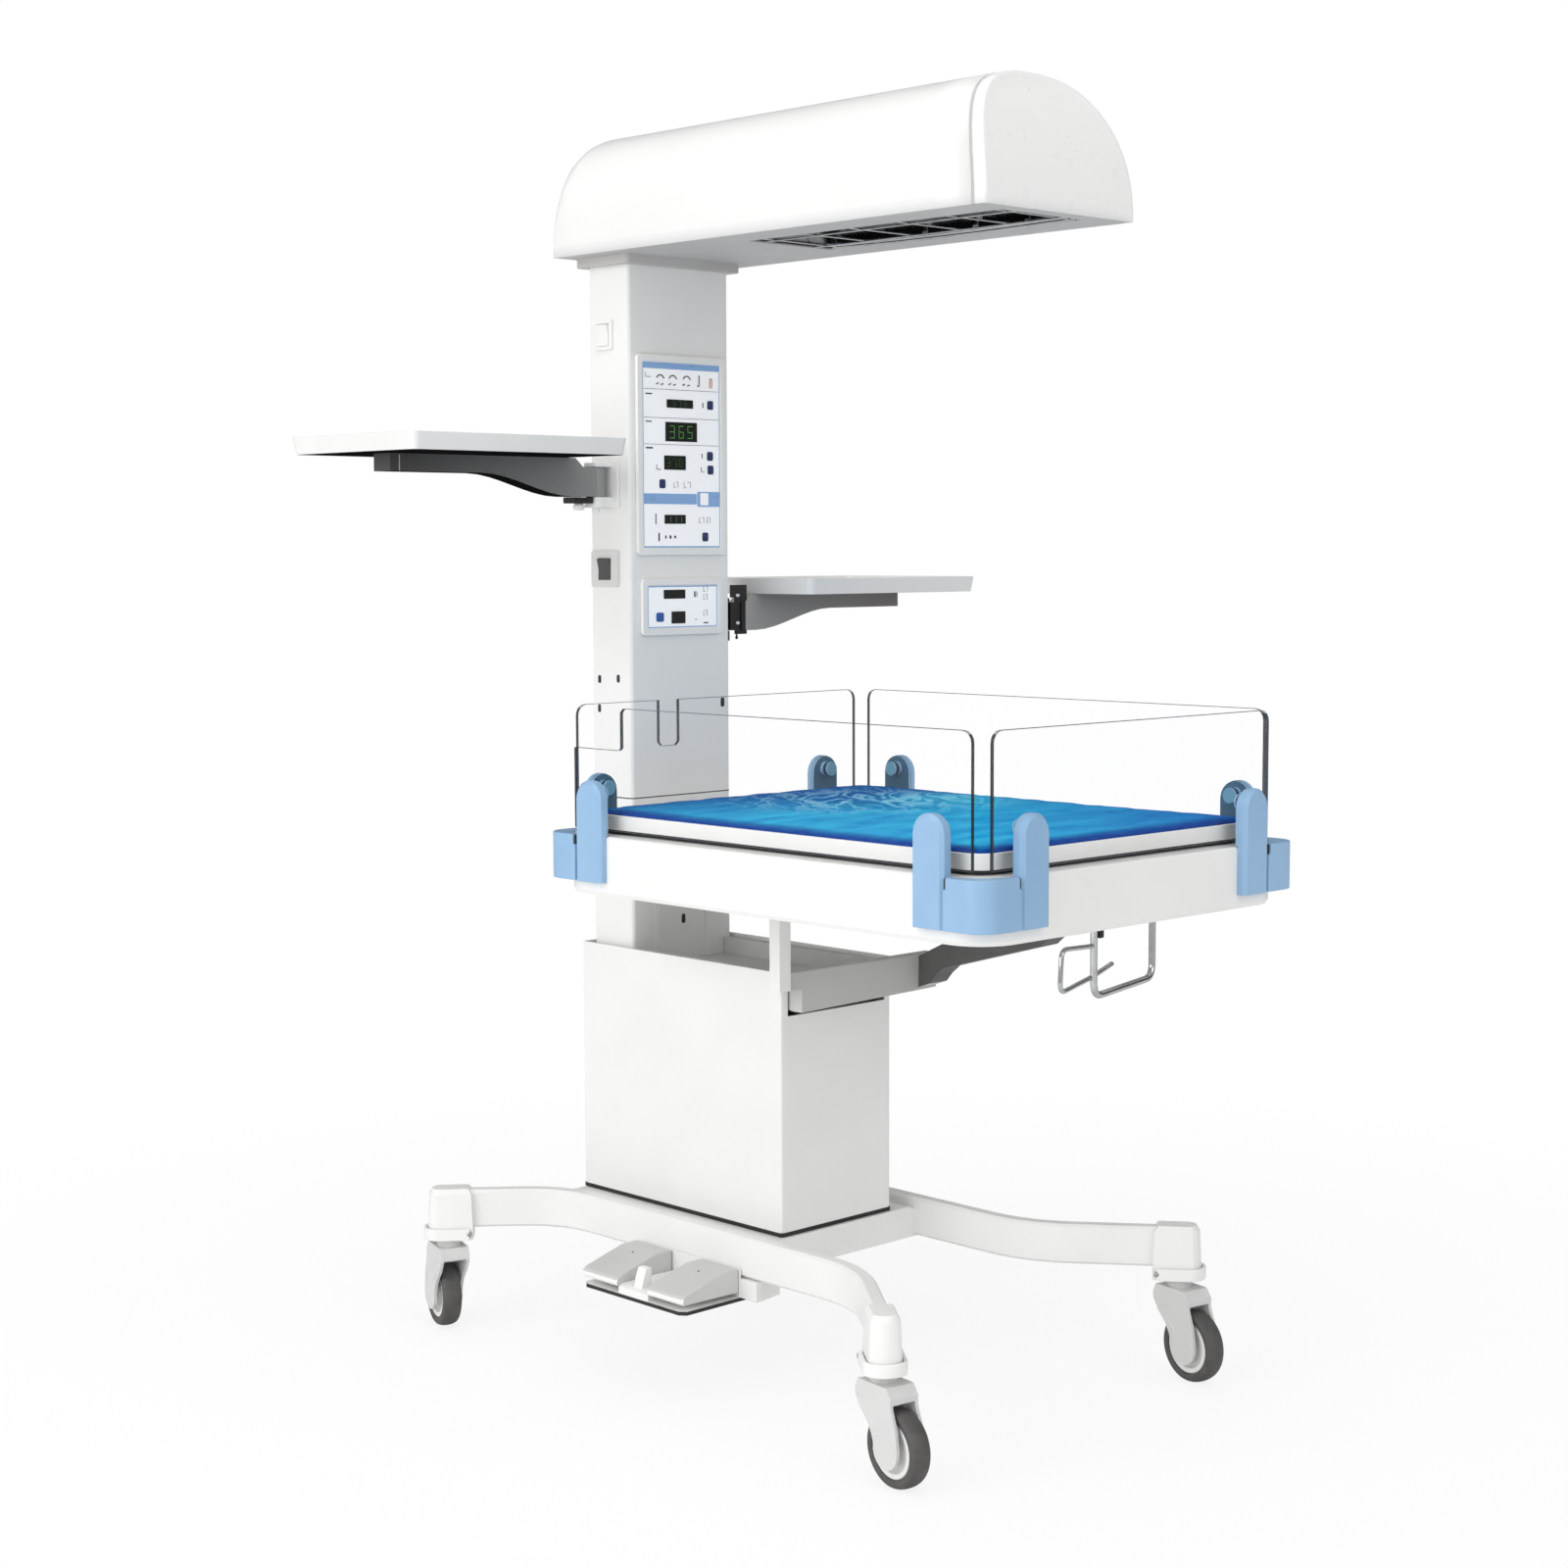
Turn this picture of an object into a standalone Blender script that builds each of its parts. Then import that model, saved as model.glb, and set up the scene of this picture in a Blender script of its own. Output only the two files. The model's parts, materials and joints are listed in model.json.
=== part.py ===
"""Infant radiant warmer on casters, in metres, +Z up, front (foot end) towards -Y."""

import math

import bmesh
import bpy
from mathutils import Matrix, Vector

# Driving dimensions: casters and base
GAP = 0.0003
WHEEL_RADIUS = 0.0535
WHEEL_WIDTH = 0.030
WHEEL_TRAIL = 0.032
RIM_RADIUS = 0.039
AXLE_RADIUS = 0.006
FORK_CLEAR = 0.0035
FORK_WALL = 0.005
FORK_EYE = 0.0255
CROWN_CLEAR = 0.006
CROWN_HEIGHT = 0.025
BEARING_RADIUS = 0.019
BEARING_HEIGHT = 0.012
SWIVEL_X = 0.318
SWIVEL_FRONT = -0.748
SWIVEL_REAR = 0.205
CAP_WIDTH = 0.048
CAP_NOSE = 0.033
CAP_TAIL = 0.040
CAP_HEIGHT = 0.080
BRAKE_WALL = 0.005
BRAKE_CLEAR = 0.0012
BRAKE_HEIGHT = 0.018
TURN_FL = -98.0
TURN_FR = -100.0
TURN_RL = 71.0
TURN_RR = 40.0
LEG_X = 0.177
LEG_BEND_FRONT = -0.570
LEG_BEND_REAR = 0.085
LEG_BEND_RADIUS = 0.070
LEG_THICK = 0.024
LEG_HEIGHT = 0.060
LEG_RISE = 0.017
FRAME_HEIGHT = 0.047
FRAME_SHEET = 0.004

# Driving dimensions: column and cabinet
COLUMN_Y = 0.32544
COLUMN_HALF = 0.105
COLUMN_DEPTH = 0.094
COLUMN_WALL = 0.004
COLUMN_FOOT_Z = 0.254
COLUMN_SEAM_Z = 0.845
SEAM_GAP = 0.0006
CABINET_SIDE_GAP = 0.009
CABINET_LENGTH = 0.346
CABINET_REAR_GAP = 0.014
CABINET_WALL = 0.003
CABINET_TOP = 0.611
CABINET_LIFT = 0.004
GUIDE_CLEAR = 0.0004
GUIDE_SIDE = 0.034
GUIDE_WALL = 0.006
GUIDE_TOP = 0.592

# Driving dimensions: control panels and switches
PANEL_HALF = 0.0925
PANEL_TOP = 1.533
PANEL_HEIGHT = 0.310
AUX_HALF = 0.085
AUX_HEIGHT = 0.089
AUX_DROP = 0.036
PANEL_THICK = 0.0065
FASCIA_SINK = 0.0025
PANEL_RIM = 0.0110
SWITCH_Y = 0.056
POWER_Z = 1.202
LAMP_DROP = 0.119
ROCKER_WIDTH = 0.028
ROCKER_HEIGHT = 0.033
ROCKER_CLEAR = 0.0007
ROCKER_TILT = 5.0
BEZEL_THICK = 0.004

# Driving dimensions: hood and heater
HOOD_Z = 1.682
HOOD_HALF = 0.156
HOOD_RISE = 0.192
HOOD_BACK = 0.022
HOOD_SEAM = -0.752
HOOD_CAP = 0.024
HOOD_LEAN = 0.052
HOOD_WALL = 0.004
PAN_CLEAR = 0.0006
PAN_THICK = 0.003
COLLAR_WIDTH = 0.015
COLLAR_HEIGHT = 0.014
HEATER_HALF = 0.086
HEATER_LENGTH = 0.492
HEATER_NOSE = 0.010
REFLECTOR_DEPTH = 0.062
REFLECTOR_SHEET = 0.002
ROD_RADIUS = 0.0065
ROD_PITCH = 0.044
GUARD_WIRE = 0.0013

# Driving dimensions: shelves
SHELF_LEFT_Z = 1.3723
SHELF_RIGHT_Z = 1.1593
SHELF_PIN_OUT = 0.024
SHELF_PIN_RADIUS = 0.006
KNUCKLE_RADIUS = 0.015
KNUCKLE_HEIGHT = 0.046
LUG_LOW = 0.016
LUG_HIGH = 0.0065
SHELF_NEAR = 0.085
SHELF_WIDTH = 0.395
SHELF_DEPTH = 0.305
SHELF_RIM = 0.0255
SHELF_SHEET = 0.0025
ARM_WIDTH = 0.040
ARM_REACH = 0.425
ARM_TIP = 0.026
ARM_BEND_NEAR = 0.063
ARM_BEND_FAR = 0.235
KNUCKLE_DROP = 0.0131
PLATE_WIDTH = 0.060
PLATE_THICK = 0.005

# Driving dimensions: bed and guards
BED_REAR_GAP = 0.082
BED_LENGTH = 0.843
BED_HALF_X = 0.322
BED_BOTTOM = 0.730
BED_HEIGHT = 0.087
BED_CORNER = 0.060
BED_WALL = 0.005
SEAT_HEIGHT = 0.007
SEAT_INSET = 0.0095
SEAT_WIDTH = 0.024
GUARD_INSET = 0.013
GUARD_THICK = 0.006
GUARD_END_GAP = 0.0166
GUARD_HEIGHT = 0.179
GUARD_LIFT = 0.008
SLOT_X = -0.1125
SLOT_WIDTH = 0.039
SLOT_DEPTH = 0.070
NOTCH_LENGTH = 0.104
NOTCH_DEPTH = 0.061
POST_WIDTH = 0.055
POST_DROP = 0.067
POST_OUT = 0.014
POST_DEPTH = 0.018
POST_CHAMFER = 0.005
POST_CLASP = 0.073
POST_IN_X = 0.087
POST_IN_Y = 0.0855
BOSS_RADIUS = 0.0115
BOSS_HEAD = 0.003
BOLT_RADIUS = 0.006
BOLT_CLEAR = 0.0005
BLOCK_CORNER = 0.034
BLOCK_TOP_UP = 0.001
LATCH_WIDTH = 0.0045
LATCH_HEIGHT = 0.015
LATCH_DEPTH = 0.006
TRAY_CLEAR = 0.0073
TRAY_HEIGHT = 0.022
TRAY_WALL = 0.004
MATTRESS_CLEAR = 0.001
MATTRESS_EDGE = 0.0215
MATTRESS_CROWN = 0.008

# Driving dimensions: carrier, wire holder and foot switch
CARRIER_CHEEK = 0.012
CARRIER_DROP = 0.176
CARRIER_HEIGHT = 0.054
BEAM_THICK = 0.023
BEAM_LEFT = 0.110
BEAM_RIGHT = 0.190
BEAM_HEIGHT = 0.056
CARRIER_POST = 0.045
ARM_PLATE = 0.039
ARM_FRONT = 0.260
WIRE_RADIUS = 0.0042
WIRE_LEFT = -0.022
WIRE_RIGHT = 0.138
WIRE_DROP = 0.104
WIRE_BACK = 0.067
WIRE_SKEW = 0.026
LOOP_REACH = 0.076
LOOP_DROP = 0.034
LOOP_LOW = 0.014
LOOP_END = 0.032
CLAMP_WIDTH = 0.038
CLAMP_DEPTH = 0.020
CLAMP_DROP = 0.044
PEDAL_X = 0.028
PEDAL_MID = -0.2235
PEDAL_WIDTH = 0.080
PEDAL_LENGTH = 0.1105
PEDAL_RIB = 0.066
PEDAL_PLAY = 0.0075
PEDAL_DROP = 0.029
PEDAL_RISE = 0.044
PEDAL_WALL = 0.0005
PEDAL_PLATE = 0.006

# Places that follow from the sizes
CAP_BOTTOM = 2 * WHEEL_RADIUS + CROWN_CLEAR + CROWN_HEIGHT + BEARING_HEIGHT
CAP_TOP = CAP_BOTTOM + CAP_HEIGHT
LEG_BOTTOM = CAP_BOTTOM + LEG_RISE
LEG_TOP = LEG_BOTTOM + LEG_HEIGHT
FRAME_TOP = LEG_BOTTOM + FRAME_HEIGHT
CABINET_BOTTOM = FRAME_TOP + CABINET_LIFT
CABINET_HALF = COLUMN_HALF + CABINET_SIDE_GAP + CABINET_WALL
CABINET_FRONT = -CABINET_LENGTH
CABINET_REAR = COLUMN_DEPTH + CABINET_REAR_GAP + CABINET_WALL
LAMP_Z = HOOD_Z - LAMP_DROP
PANEL_BOTTOM = PANEL_TOP - PANEL_HEIGHT
AUX_TOP = PANEL_BOTTOM - AUX_DROP
AUX_BOTTOM = AUX_TOP - AUX_HEIGHT
HOOD_REAR = COLUMN_DEPTH + HOOD_BACK
HOOD_FRONT = HOOD_SEAM - HOOD_CAP
HEATER_FRONT = HOOD_SEAM + HEATER_NOSE
HEATER_REAR = HEATER_FRONT + HEATER_LENGTH
SHELF_Y = COLUMN_DEPTH / 2 + 0.005
SHELF_PIN = COLUMN_HALF + SHELF_PIN_OUT
BED_TOP = BED_BOTTOM + BED_HEIGHT
BED_REAR = -BED_REAR_GAP
BED_FRONT = BED_REAR - BED_LENGTH
BED_MID = (BED_REAR + BED_FRONT) / 2
BED_HALF_Y = BED_LENGTH / 2
GUARD_HALF_X = BED_HALF_X - GUARD_INSET
GUARD_HALF_Y = BED_HALF_Y - GUARD_INSET
GUARD_BOTTOM = BED_TOP + GUARD_LIFT
GUARD_TOP = GUARD_BOTTOM + GUARD_HEIGHT
POST_BOTTOM = BED_TOP - POST_DROP
POST_TOP = GUARD_BOTTOM + POST_CLASP
POST_MID_X = BED_HALF_X - POST_IN_X
POST_MID_Y = BED_HALF_Y - POST_IN_Y
TRAY_BOTTOM = BED_TOP + SEAT_HEIGHT
TRAY_TOP = TRAY_BOTTOM + TRAY_HEIGHT
TRAY_INSET = GUARD_THICK / 2 + GAP + BOSS_HEAD + TRAY_CLEAR
TRAY_HALF_X = GUARD_HALF_X - TRAY_INSET
TRAY_HALF_Y = GUARD_HALF_Y - TRAY_INSET


# Colours and finishes
def material(name, colour, rough, metal=0.0, alpha=1.0):
    mat = bpy.data.materials.new(name)
    mat.use_nodes = True
    shader = mat.node_tree.nodes["Principled BSDF"]
    shader.inputs["Base Color"].default_value = (*colour, 1.0)
    shader.inputs["Roughness"].default_value = rough
    shader.inputs["Metallic"].default_value = metal
    shader.inputs["Alpha"].default_value = alpha
    mat.diffuse_color = (*colour, alpha)
    return mat


WHITE_STEEL = material("white_painted_steel", (0.86, 0.86, 0.85), 0.35)
WHITE_PLASTIC = material("white_plastic", (0.88, 0.88, 0.87), 0.40)
GREY_STEEL = material("grey_painted_steel", (0.42, 0.42, 0.42), 0.45)
LIGHT_GREY = material("light_grey_plastic", (0.68, 0.68, 0.68), 0.40)
BLUE_PLASTIC = material("blue_plastic", (0.30, 0.48, 0.74), 0.40)
MATTRESS_BLUE = material("mattress_cover", (0.05, 0.32, 0.64), 0.30)
CLEAR = material("clear_acrylic", (0.86, 0.92, 0.95), 0.05, 0.0, 0.25)
BLACK = material("black_plastic", (0.02, 0.02, 0.02), 0.50)
RUBBER = material("tyre_rubber", (0.09, 0.09, 0.088), 0.70)
CHROME = material("chrome_wire", (0.80, 0.80, 0.80), 0.12, 1.0)
BRIGHT = material("polished_aluminium", (0.75, 0.75, 0.75), 0.20, 1.0)
QUARTZ = material("heater_quartz", (0.70, 0.68, 0.66), 0.20)


# Mesh helpers
def add_loop(bm, points):
    return [bm.verts.new(p) for p in points]


def bridge(bm, first, second, closed=True):
    count = len(first)
    for i in range(count if closed else count - 1):
        j = (i + 1) % count
        bm.faces.new((first[i], first[j], second[j], second[i]))


def place(axis, a, b, c):
    if axis == "x":
        return (c, a, b)
    if axis == "y":
        return (a, c, b)
    return (a, b, c)


def prism(bm, outline, axis, low, high):
    bottom = add_loop(bm, [place(axis, a, b, low) for a, b in outline])
    top = add_loop(bm, [place(axis, a, b, high) for a, b in outline])
    bridge(bm, bottom, top)
    bm.faces.new(bottom)
    bm.faces.new(top)
    return bottom + top


def ring_prism(bm, outer, inner, axis, low, high):
    ob = add_loop(bm, [place(axis, a, b, low) for a, b in outer])
    ot = add_loop(bm, [place(axis, a, b, high) for a, b in outer])
    ib = add_loop(bm, [place(axis, a, b, low) for a, b in inner])
    it = add_loop(bm, [place(axis, a, b, high) for a, b in inner])
    bridge(bm, ob, ot)
    bridge(bm, it, ib)
    bridge(bm, ot, it)
    bridge(bm, ib, ob)
    return ob + ot + ib + it


def round_rect(a0, a1, b0, b1, radius, steps=3):
    points = []
    corners = (
        (a1 - radius, b1 - radius, 0), (a0 + radius, b1 - radius, 90), (a0 + radius, b0 + radius, 180),
        (a1 - radius, b0 + radius, 270),
    )
    for ca, cb, start in corners:
        for i in range(steps + 1):
            t = math.radians(start + 90 * i / steps)
            points.append((ca + radius * math.cos(t), cb + radius * math.sin(t)))
    return points


def box(bm, x0, x1, y0, y1, z0, z1, radius=0.0, axis="z", steps=2):
    if radius <= 0:
        if axis == "z":
            return prism(bm, [(x0, y0), (x1, y0), (x1, y1), (x0, y1)], "z", z0, z1)
    if axis == "z":
        return prism(bm, round_rect(x0, x1, y0, y1, radius, steps), "z", z0, z1)
    if axis == "y":
        return prism(bm, round_rect(x0, x1, z0, z1, radius, steps), "y", y0, y1)
    return prism(bm, round_rect(y0, y1, z0, z1, radius, steps), "x", x0, x1)


def open_box(bm, outer_low, inner_low, outer_high, inner_high, z_floor_out, z_floor_in, z_rim):
    """Open vessel: floor at z_floor_out, rim at z_rim (rim may be above or below)."""
    ol = add_loop(bm, [(a, b, z_floor_out) for a, b in outer_low])
    oh = add_loop(bm, [(a, b, z_rim) for a, b in outer_high])
    ih = add_loop(bm, [(a, b, z_rim) for a, b in inner_high])
    il = add_loop(bm, [(a, b, z_floor_in) for a, b in inner_low])
    bridge(bm, ol, oh)
    bridge(bm, oh, ih)
    bridge(bm, ih, il)
    bm.faces.new(ol)
    bm.faces.new(il)


def lathe(bm, profile, segments, matrix):
    """Closed profile of (radius, along), turned about the local Z axis."""
    rings = []
    for i in range(segments):
        t = 2 * math.pi * i / segments
        ring = [matrix @ Vector((r * math.cos(t), r * math.sin(t), h)) for r, h in profile]
        rings.append(add_loop(bm, ring))
    for i in range(segments):
        bridge(bm, rings[i], rings[(i + 1) % segments])


def rod(bm, start, end, radius, segments=10):
    a = Vector(start)
    b = Vector(end)
    turn = (b - a).to_track_quat("Z", "Y").to_matrix().to_4x4()
    rings = []
    for base in (a, b):
        ring = []
        for i in range(segments):
            t = 2 * math.pi * i / segments
            local = turn @ Vector((radius * math.cos(t), radius * math.sin(t), 0))
            ring.append(base + local)
        rings.append(add_loop(bm, ring))
    bridge(bm, rings[0], rings[1])
    bm.faces.new(rings[0])
    bm.faces.new(rings[1])


def round_path(corners, radius, steps=3):
    pts = [Vector(p) for p in corners]
    out = [pts[0]]
    for i in range(1, len(pts) - 1):
        before = (pts[i - 1] - pts[i]).normalized()
        after = (pts[i + 1] - pts[i]).normalized()
        first = pts[i] + before * radius
        last = pts[i] + after * radius
        for k in range(steps + 1):
            t = k / steps
            out.append(first * (1 - t) ** 2 + pts[i] * 2 * t * (1 - t) + last * t ** 2)
    out.append(pts[-1])
    return out


def tube(bm, path, radius, segments=8):
    pts = [Vector(p) for p in path]
    count = len(pts)
    tangent = (pts[1] - pts[0]).normalized()
    side = tangent.orthogonal().normalized()
    rings = []
    for i in range(count):
        if i == 0:
            direction = pts[1] - pts[0]
        elif i == count - 1:
            direction = pts[-1] - pts[-2]
        else:
            direction = (pts[i + 1] - pts[i]).normalized() + (pts[i] - pts[i - 1]).normalized()
        direction.normalize()
        turn = tangent.rotation_difference(direction)
        side = turn @ side
        tangent = direction
        other = tangent.cross(side).normalized()
        ring = []
        for k in range(segments):
            t = 2 * math.pi * k / segments
            ring.append(pts[i] + side * radius * math.cos(t) + other * radius * math.sin(t))
        rings.append(add_loop(bm, ring))
    for i in range(count - 1):
        bridge(bm, rings[i], rings[i + 1])
    bm.faces.new(rings[0])
    bm.faces.new(rings[-1])


def sweep_bar(bm, path, profile):
    """Sweep a (side, height) profile along a flat path of (x, y)."""
    pts = [Vector((x, y)) for x, y in path]
    rings = []
    for i, p in enumerate(pts):
        if i == 0:
            d = pts[1] - pts[0]
        elif i == len(pts) - 1:
            d = pts[-1] - pts[-2]
        else:
            d = (pts[i + 1] - p).normalized() + (p - pts[i - 1]).normalized()
        d.normalize()
        normal = Vector((d.y, -d.x))
        bend = 1.0
        if 0 < i < len(pts) - 1:
            bend = 1.0 / max(
                0.5,
                normal.dot(Vector(((pts[i + 1] - p).normalized().y, -(pts[i + 1] - p).normalized().x))),
            )
        ring = [(p.x + normal.x * s * bend, p.y + normal.y * s * bend, h) for s, h in profile]
        rings.append(add_loop(bm, ring))
    for i in range(len(rings) - 1):
        bridge(bm, rings[i], rings[i + 1])
    bm.faces.new(rings[0])
    bm.faces.new(rings[-1])


def shell(bm, outer, inner):
    """Hollow hood: rows of arch points from the closed end to the open end."""
    o = [add_loop(bm, row) for row in outer]
    n = [add_loop(bm, row) for row in inner]
    for grid in (o, n):
        for i in range(len(grid) - 1):
            bridge(bm, grid[i], grid[i + 1], False)
    bm.faces.new(o[0])
    bm.faces.new(n[0])
    bridge(bm, o[-1], n[-1], False)
    for i in range(len(o) - 1):
        for j in (0, -1):
            bm.faces.new((o[i][j], o[i + 1][j], n[i + 1][j], n[i][j]))
    bm.faces.new((o[0][0], n[0][0], n[0][-1], o[0][-1]))


def finish(name, bm, mat, column_frame=True):
    if column_frame:
        bmesh.ops.translate(bm, verts=bm.verts, vec=(0.0, COLUMN_Y, 0.0))
    bmesh.ops.recalc_face_normals(bm, faces=bm.faces)
    mesh = bpy.data.meshes.new(name)
    bm.to_mesh(mesh)
    bm.free()
    mesh.materials.append(mat)
    obj = bpy.data.objects.new(name, mesh)
    bpy.context.scene.collection.objects.link(obj)
    return obj


def fuse(obj, others):
    """Weld overlapping solids into one and throw the others away."""
    for other in others:
        boolean(obj, other, "UNION")
    return obj


def cut(obj, cutter):
    """Take the cutter's solid out of the object and throw the cutter away."""
    boolean(obj, cutter, "DIFFERENCE")
    return obj


def boolean(obj, tool, operation):
    step = obj.modifiers.new("step", "BOOLEAN")
    step.operation = operation
    step.solver = "EXACT"
    step.object = tool
    graph = bpy.context.evaluated_depsgraph_get()
    mesh = bpy.data.meshes.new_from_object(obj.evaluated_get(graph))
    obj.modifiers.clear()
    old = obj.data
    obj.data = mesh
    bpy.data.meshes.remove(old)
    mesh.name = obj.name
    bpy.data.objects.remove(tool, do_unlink=True)


for thing in list(bpy.data.objects):
    bpy.data.objects.remove(thing, do_unlink=True)


# Base frame: two bowed leg bars welded to a centre box, with the end sockets for the casters
def end_aim(sign_y):
    swivel = Vector((-SWIVEL_X, SWIVEL_FRONT if sign_y < 0 else SWIVEL_REAR))
    bend = Vector((-LEG_X, LEG_BEND_FRONT if sign_y < 0 else LEG_BEND_REAR))
    return (swivel - bend).normalized()


FRONT_AIM = end_aim(-1)
REAR_AIM = end_aim(1)
SWIVELS = (
    ("fl", -SWIVEL_X, SWIVEL_FRONT, FRONT_AIM.x, FRONT_AIM.y, TURN_FL),
    ("fr", SWIVEL_X, SWIVEL_FRONT, -FRONT_AIM.x, FRONT_AIM.y, TURN_FR),
    ("rl", -SWIVEL_X, SWIVEL_REAR, REAR_AIM.x, REAR_AIM.y, TURN_RL),
    ("rr", SWIVEL_X, SWIVEL_REAR, -REAR_AIM.x, REAR_AIM.y, TURN_RR),
)


def cap_outline(grow, tail):
    """Plan of a leg end: straight sides and a rounded nose, grown by an offset."""
    half = CAP_WIDTH / 2 + grow
    nose = CAP_NOSE + grow
    line = [(-tail, -half)]
    for i in range(9):
        t = math.radians(-90 + 180 * i / 8)
        line.append((nose - half * 0.8 + half * 0.8 * math.cos(t), half * math.sin(t)))
    line.append((-tail, half))
    return line


def turned(points, x, y, ax, ay):
    return [(x + ax * u - ay * v, y + ay * u + ax * v) for u, v in points]


edge = 0.004
leg_half = LEG_THICK / 2
leg_profile = [
    (-leg_half + edge, LEG_BOTTOM), (leg_half - edge, LEG_BOTTOM), (leg_half, LEG_BOTTOM + edge),
    (leg_half, LEG_TOP - edge), (leg_half - edge, LEG_TOP), (-leg_half + edge, LEG_TOP),
    (-leg_half, LEG_TOP - edge), (-leg_half, LEG_BOTTOM + edge),
]
rear_end = Vector((-SWIVEL_X, SWIVEL_REAR)) - REAR_AIM * (CAP_TAIL - 0.012)
front_end = Vector((-SWIVEL_X, SWIVEL_FRONT)) - FRONT_AIM * (CAP_TAIL - 0.012)
corners = [
    (rear_end.x, rear_end.y, 0), (-LEG_X, LEG_BEND_REAR, 0), (-LEG_X, LEG_BEND_FRONT, 0),
    (front_end.x, front_end.y, 0),
]
left_path = [(p.x, p.y) for p in round_path(corners, LEG_BEND_RADIUS, 6)]
bm = bmesh.new()
sweep_bar(bm, left_path, leg_profile)
base = finish("base_frame", bm, WHITE_STEEL)
bm = bmesh.new()
sweep_bar(bm, [(-x, y) for x, y in left_path], leg_profile)
welds = [finish("leg", bm, WHITE_STEEL)]
bm = bmesh.new()
frame_half = LEG_X - leg_half * 0.4
outline = [
    (-frame_half, LEG_BOTTOM - 0.001), (frame_half, LEG_BOTTOM - 0.001),
    (frame_half, FRAME_TOP - 0.008), (frame_half - 0.020, FRAME_TOP), (-frame_half + 0.020, FRAME_TOP),
    (-frame_half, FRAME_TOP - 0.008),
]
prism(bm, outline, "y", CABINET_FRONT - 0.006, CABINET_REAR - 0.004)
welds.append(finish("centre", bm, WHITE_STEEL))
for tag, sx, sy, ax, ay, trail in SWIVELS:
    bm = bmesh.new()
    rows = []
    for grow, z in ((0.0, CAP_BOTTOM), (-0.003, CAP_TOP - 0.008), (-0.008, CAP_TOP)):
        plan = turned(cap_outline(grow, CAP_TAIL + min(grow, 0.0)), sx, sy, ax, ay)
        rows.append(add_loop(bm, [(x, y, z) for x, y in plan]))
    bridge(bm, rows[0], rows[1])
    bridge(bm, rows[1], rows[2])
    bm.faces.new(rows[0])
    bm.faces.new(rows[2])
    welds.append(finish("end", bm, WHITE_STEEL))
fuse(base, welds)
bm = bmesh.new()
pocket = LEG_X - 0.037
box(
    bm, -pocket, pocket, CABINET_FRONT + 0.024, CABINET_REAR - 0.034, LEG_BOTTOM - 0.02,
    FRAME_TOP - FRAME_SHEET,
)
cut(base, finish("pocket", bm, WHITE_STEEL))

# Stirrup brakes around the lower rim of each leg end
for tag, sx, sy, ax, ay, trail in SWIVELS:
    bm = bmesh.new()
    tail = CAP_TAIL - 0.006
    ring = cap_outline(BRAKE_CLEAR + BRAKE_WALL, tail) + list(reversed(cap_outline(BRAKE_CLEAR, tail)))
    prism(bm, turned(ring, sx, sy, ax, ay), "z", CAP_BOTTOM, CAP_BOTTOM + BRAKE_HEIGHT)
    finish("brake_stirrup_" + tag, bm, WHITE_PLASTIC)

# Casters: cast fork with swivel bearing and axle, wheel with its tyre moulded on
fork_top = CAP_BOTTOM - BEARING_HEIGHT
fork_low = fork_top - CROWN_HEIGHT
axle_z = WHEEL_RADIUS
arm_in = WHEEL_WIDTH / 2 + FORK_CLEAR
fork_side = [
    (-0.026, fork_top), (-0.0315, fork_top - 0.012), (-0.0315, fork_low + 0.004),
    (WHEEL_TRAIL - 0.053, axle_z + 0.046), (WHEEL_TRAIL - 0.037, axle_z + 0.030),
    (WHEEL_TRAIL - 0.029, axle_z + 0.017),
]
for i in range(11):
    t = math.radians(168 + 200 * i / 10)
    fork_side.append((WHEEL_TRAIL + FORK_EYE * math.cos(t), axle_z + FORK_EYE * math.sin(t)))
fork_side += [
    (WHEEL_TRAIL + 0.022, axle_z + 0.032), (WHEEL_TRAIL + 0.012, fork_low - 0.002),
    (WHEEL_TRAIL + 0.012, fork_top - 0.013), (WHEEL_TRAIL + 0.002, fork_top),
]
crown = [
    (-0.0255, fork_top - 0.0005), (-0.0310, fork_top - 0.012), (-0.0310, fork_low + 0.006),
    (-0.016, fork_low), (0.008, fork_low), (WHEEL_TRAIL + 0.0115, fork_low + 0.003),
    (WHEEL_TRAIL + 0.0115, fork_top - 0.0135), (WHEEL_TRAIL + 0.0015, fork_top - 0.0005),
]
half_w = WHEEL_WIDTH / 2
wheel_profile = [
    (AXLE_RADIUS + GAP * 2, -half_w + 0.001), (0.0150, -half_w + 0.001), (0.0190, -half_w + 0.007),
    (RIM_RADIUS - 0.006, -half_w + 0.007), (RIM_RADIUS - 0.001, -half_w + 0.002),
    (RIM_RADIUS + 0.002, -half_w), (WHEEL_RADIUS - 0.006, -half_w), (WHEEL_RADIUS, -half_w + 0.008),
]
wheel_profile += [(r, -h) for r, h in reversed(wheel_profile)]
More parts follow.
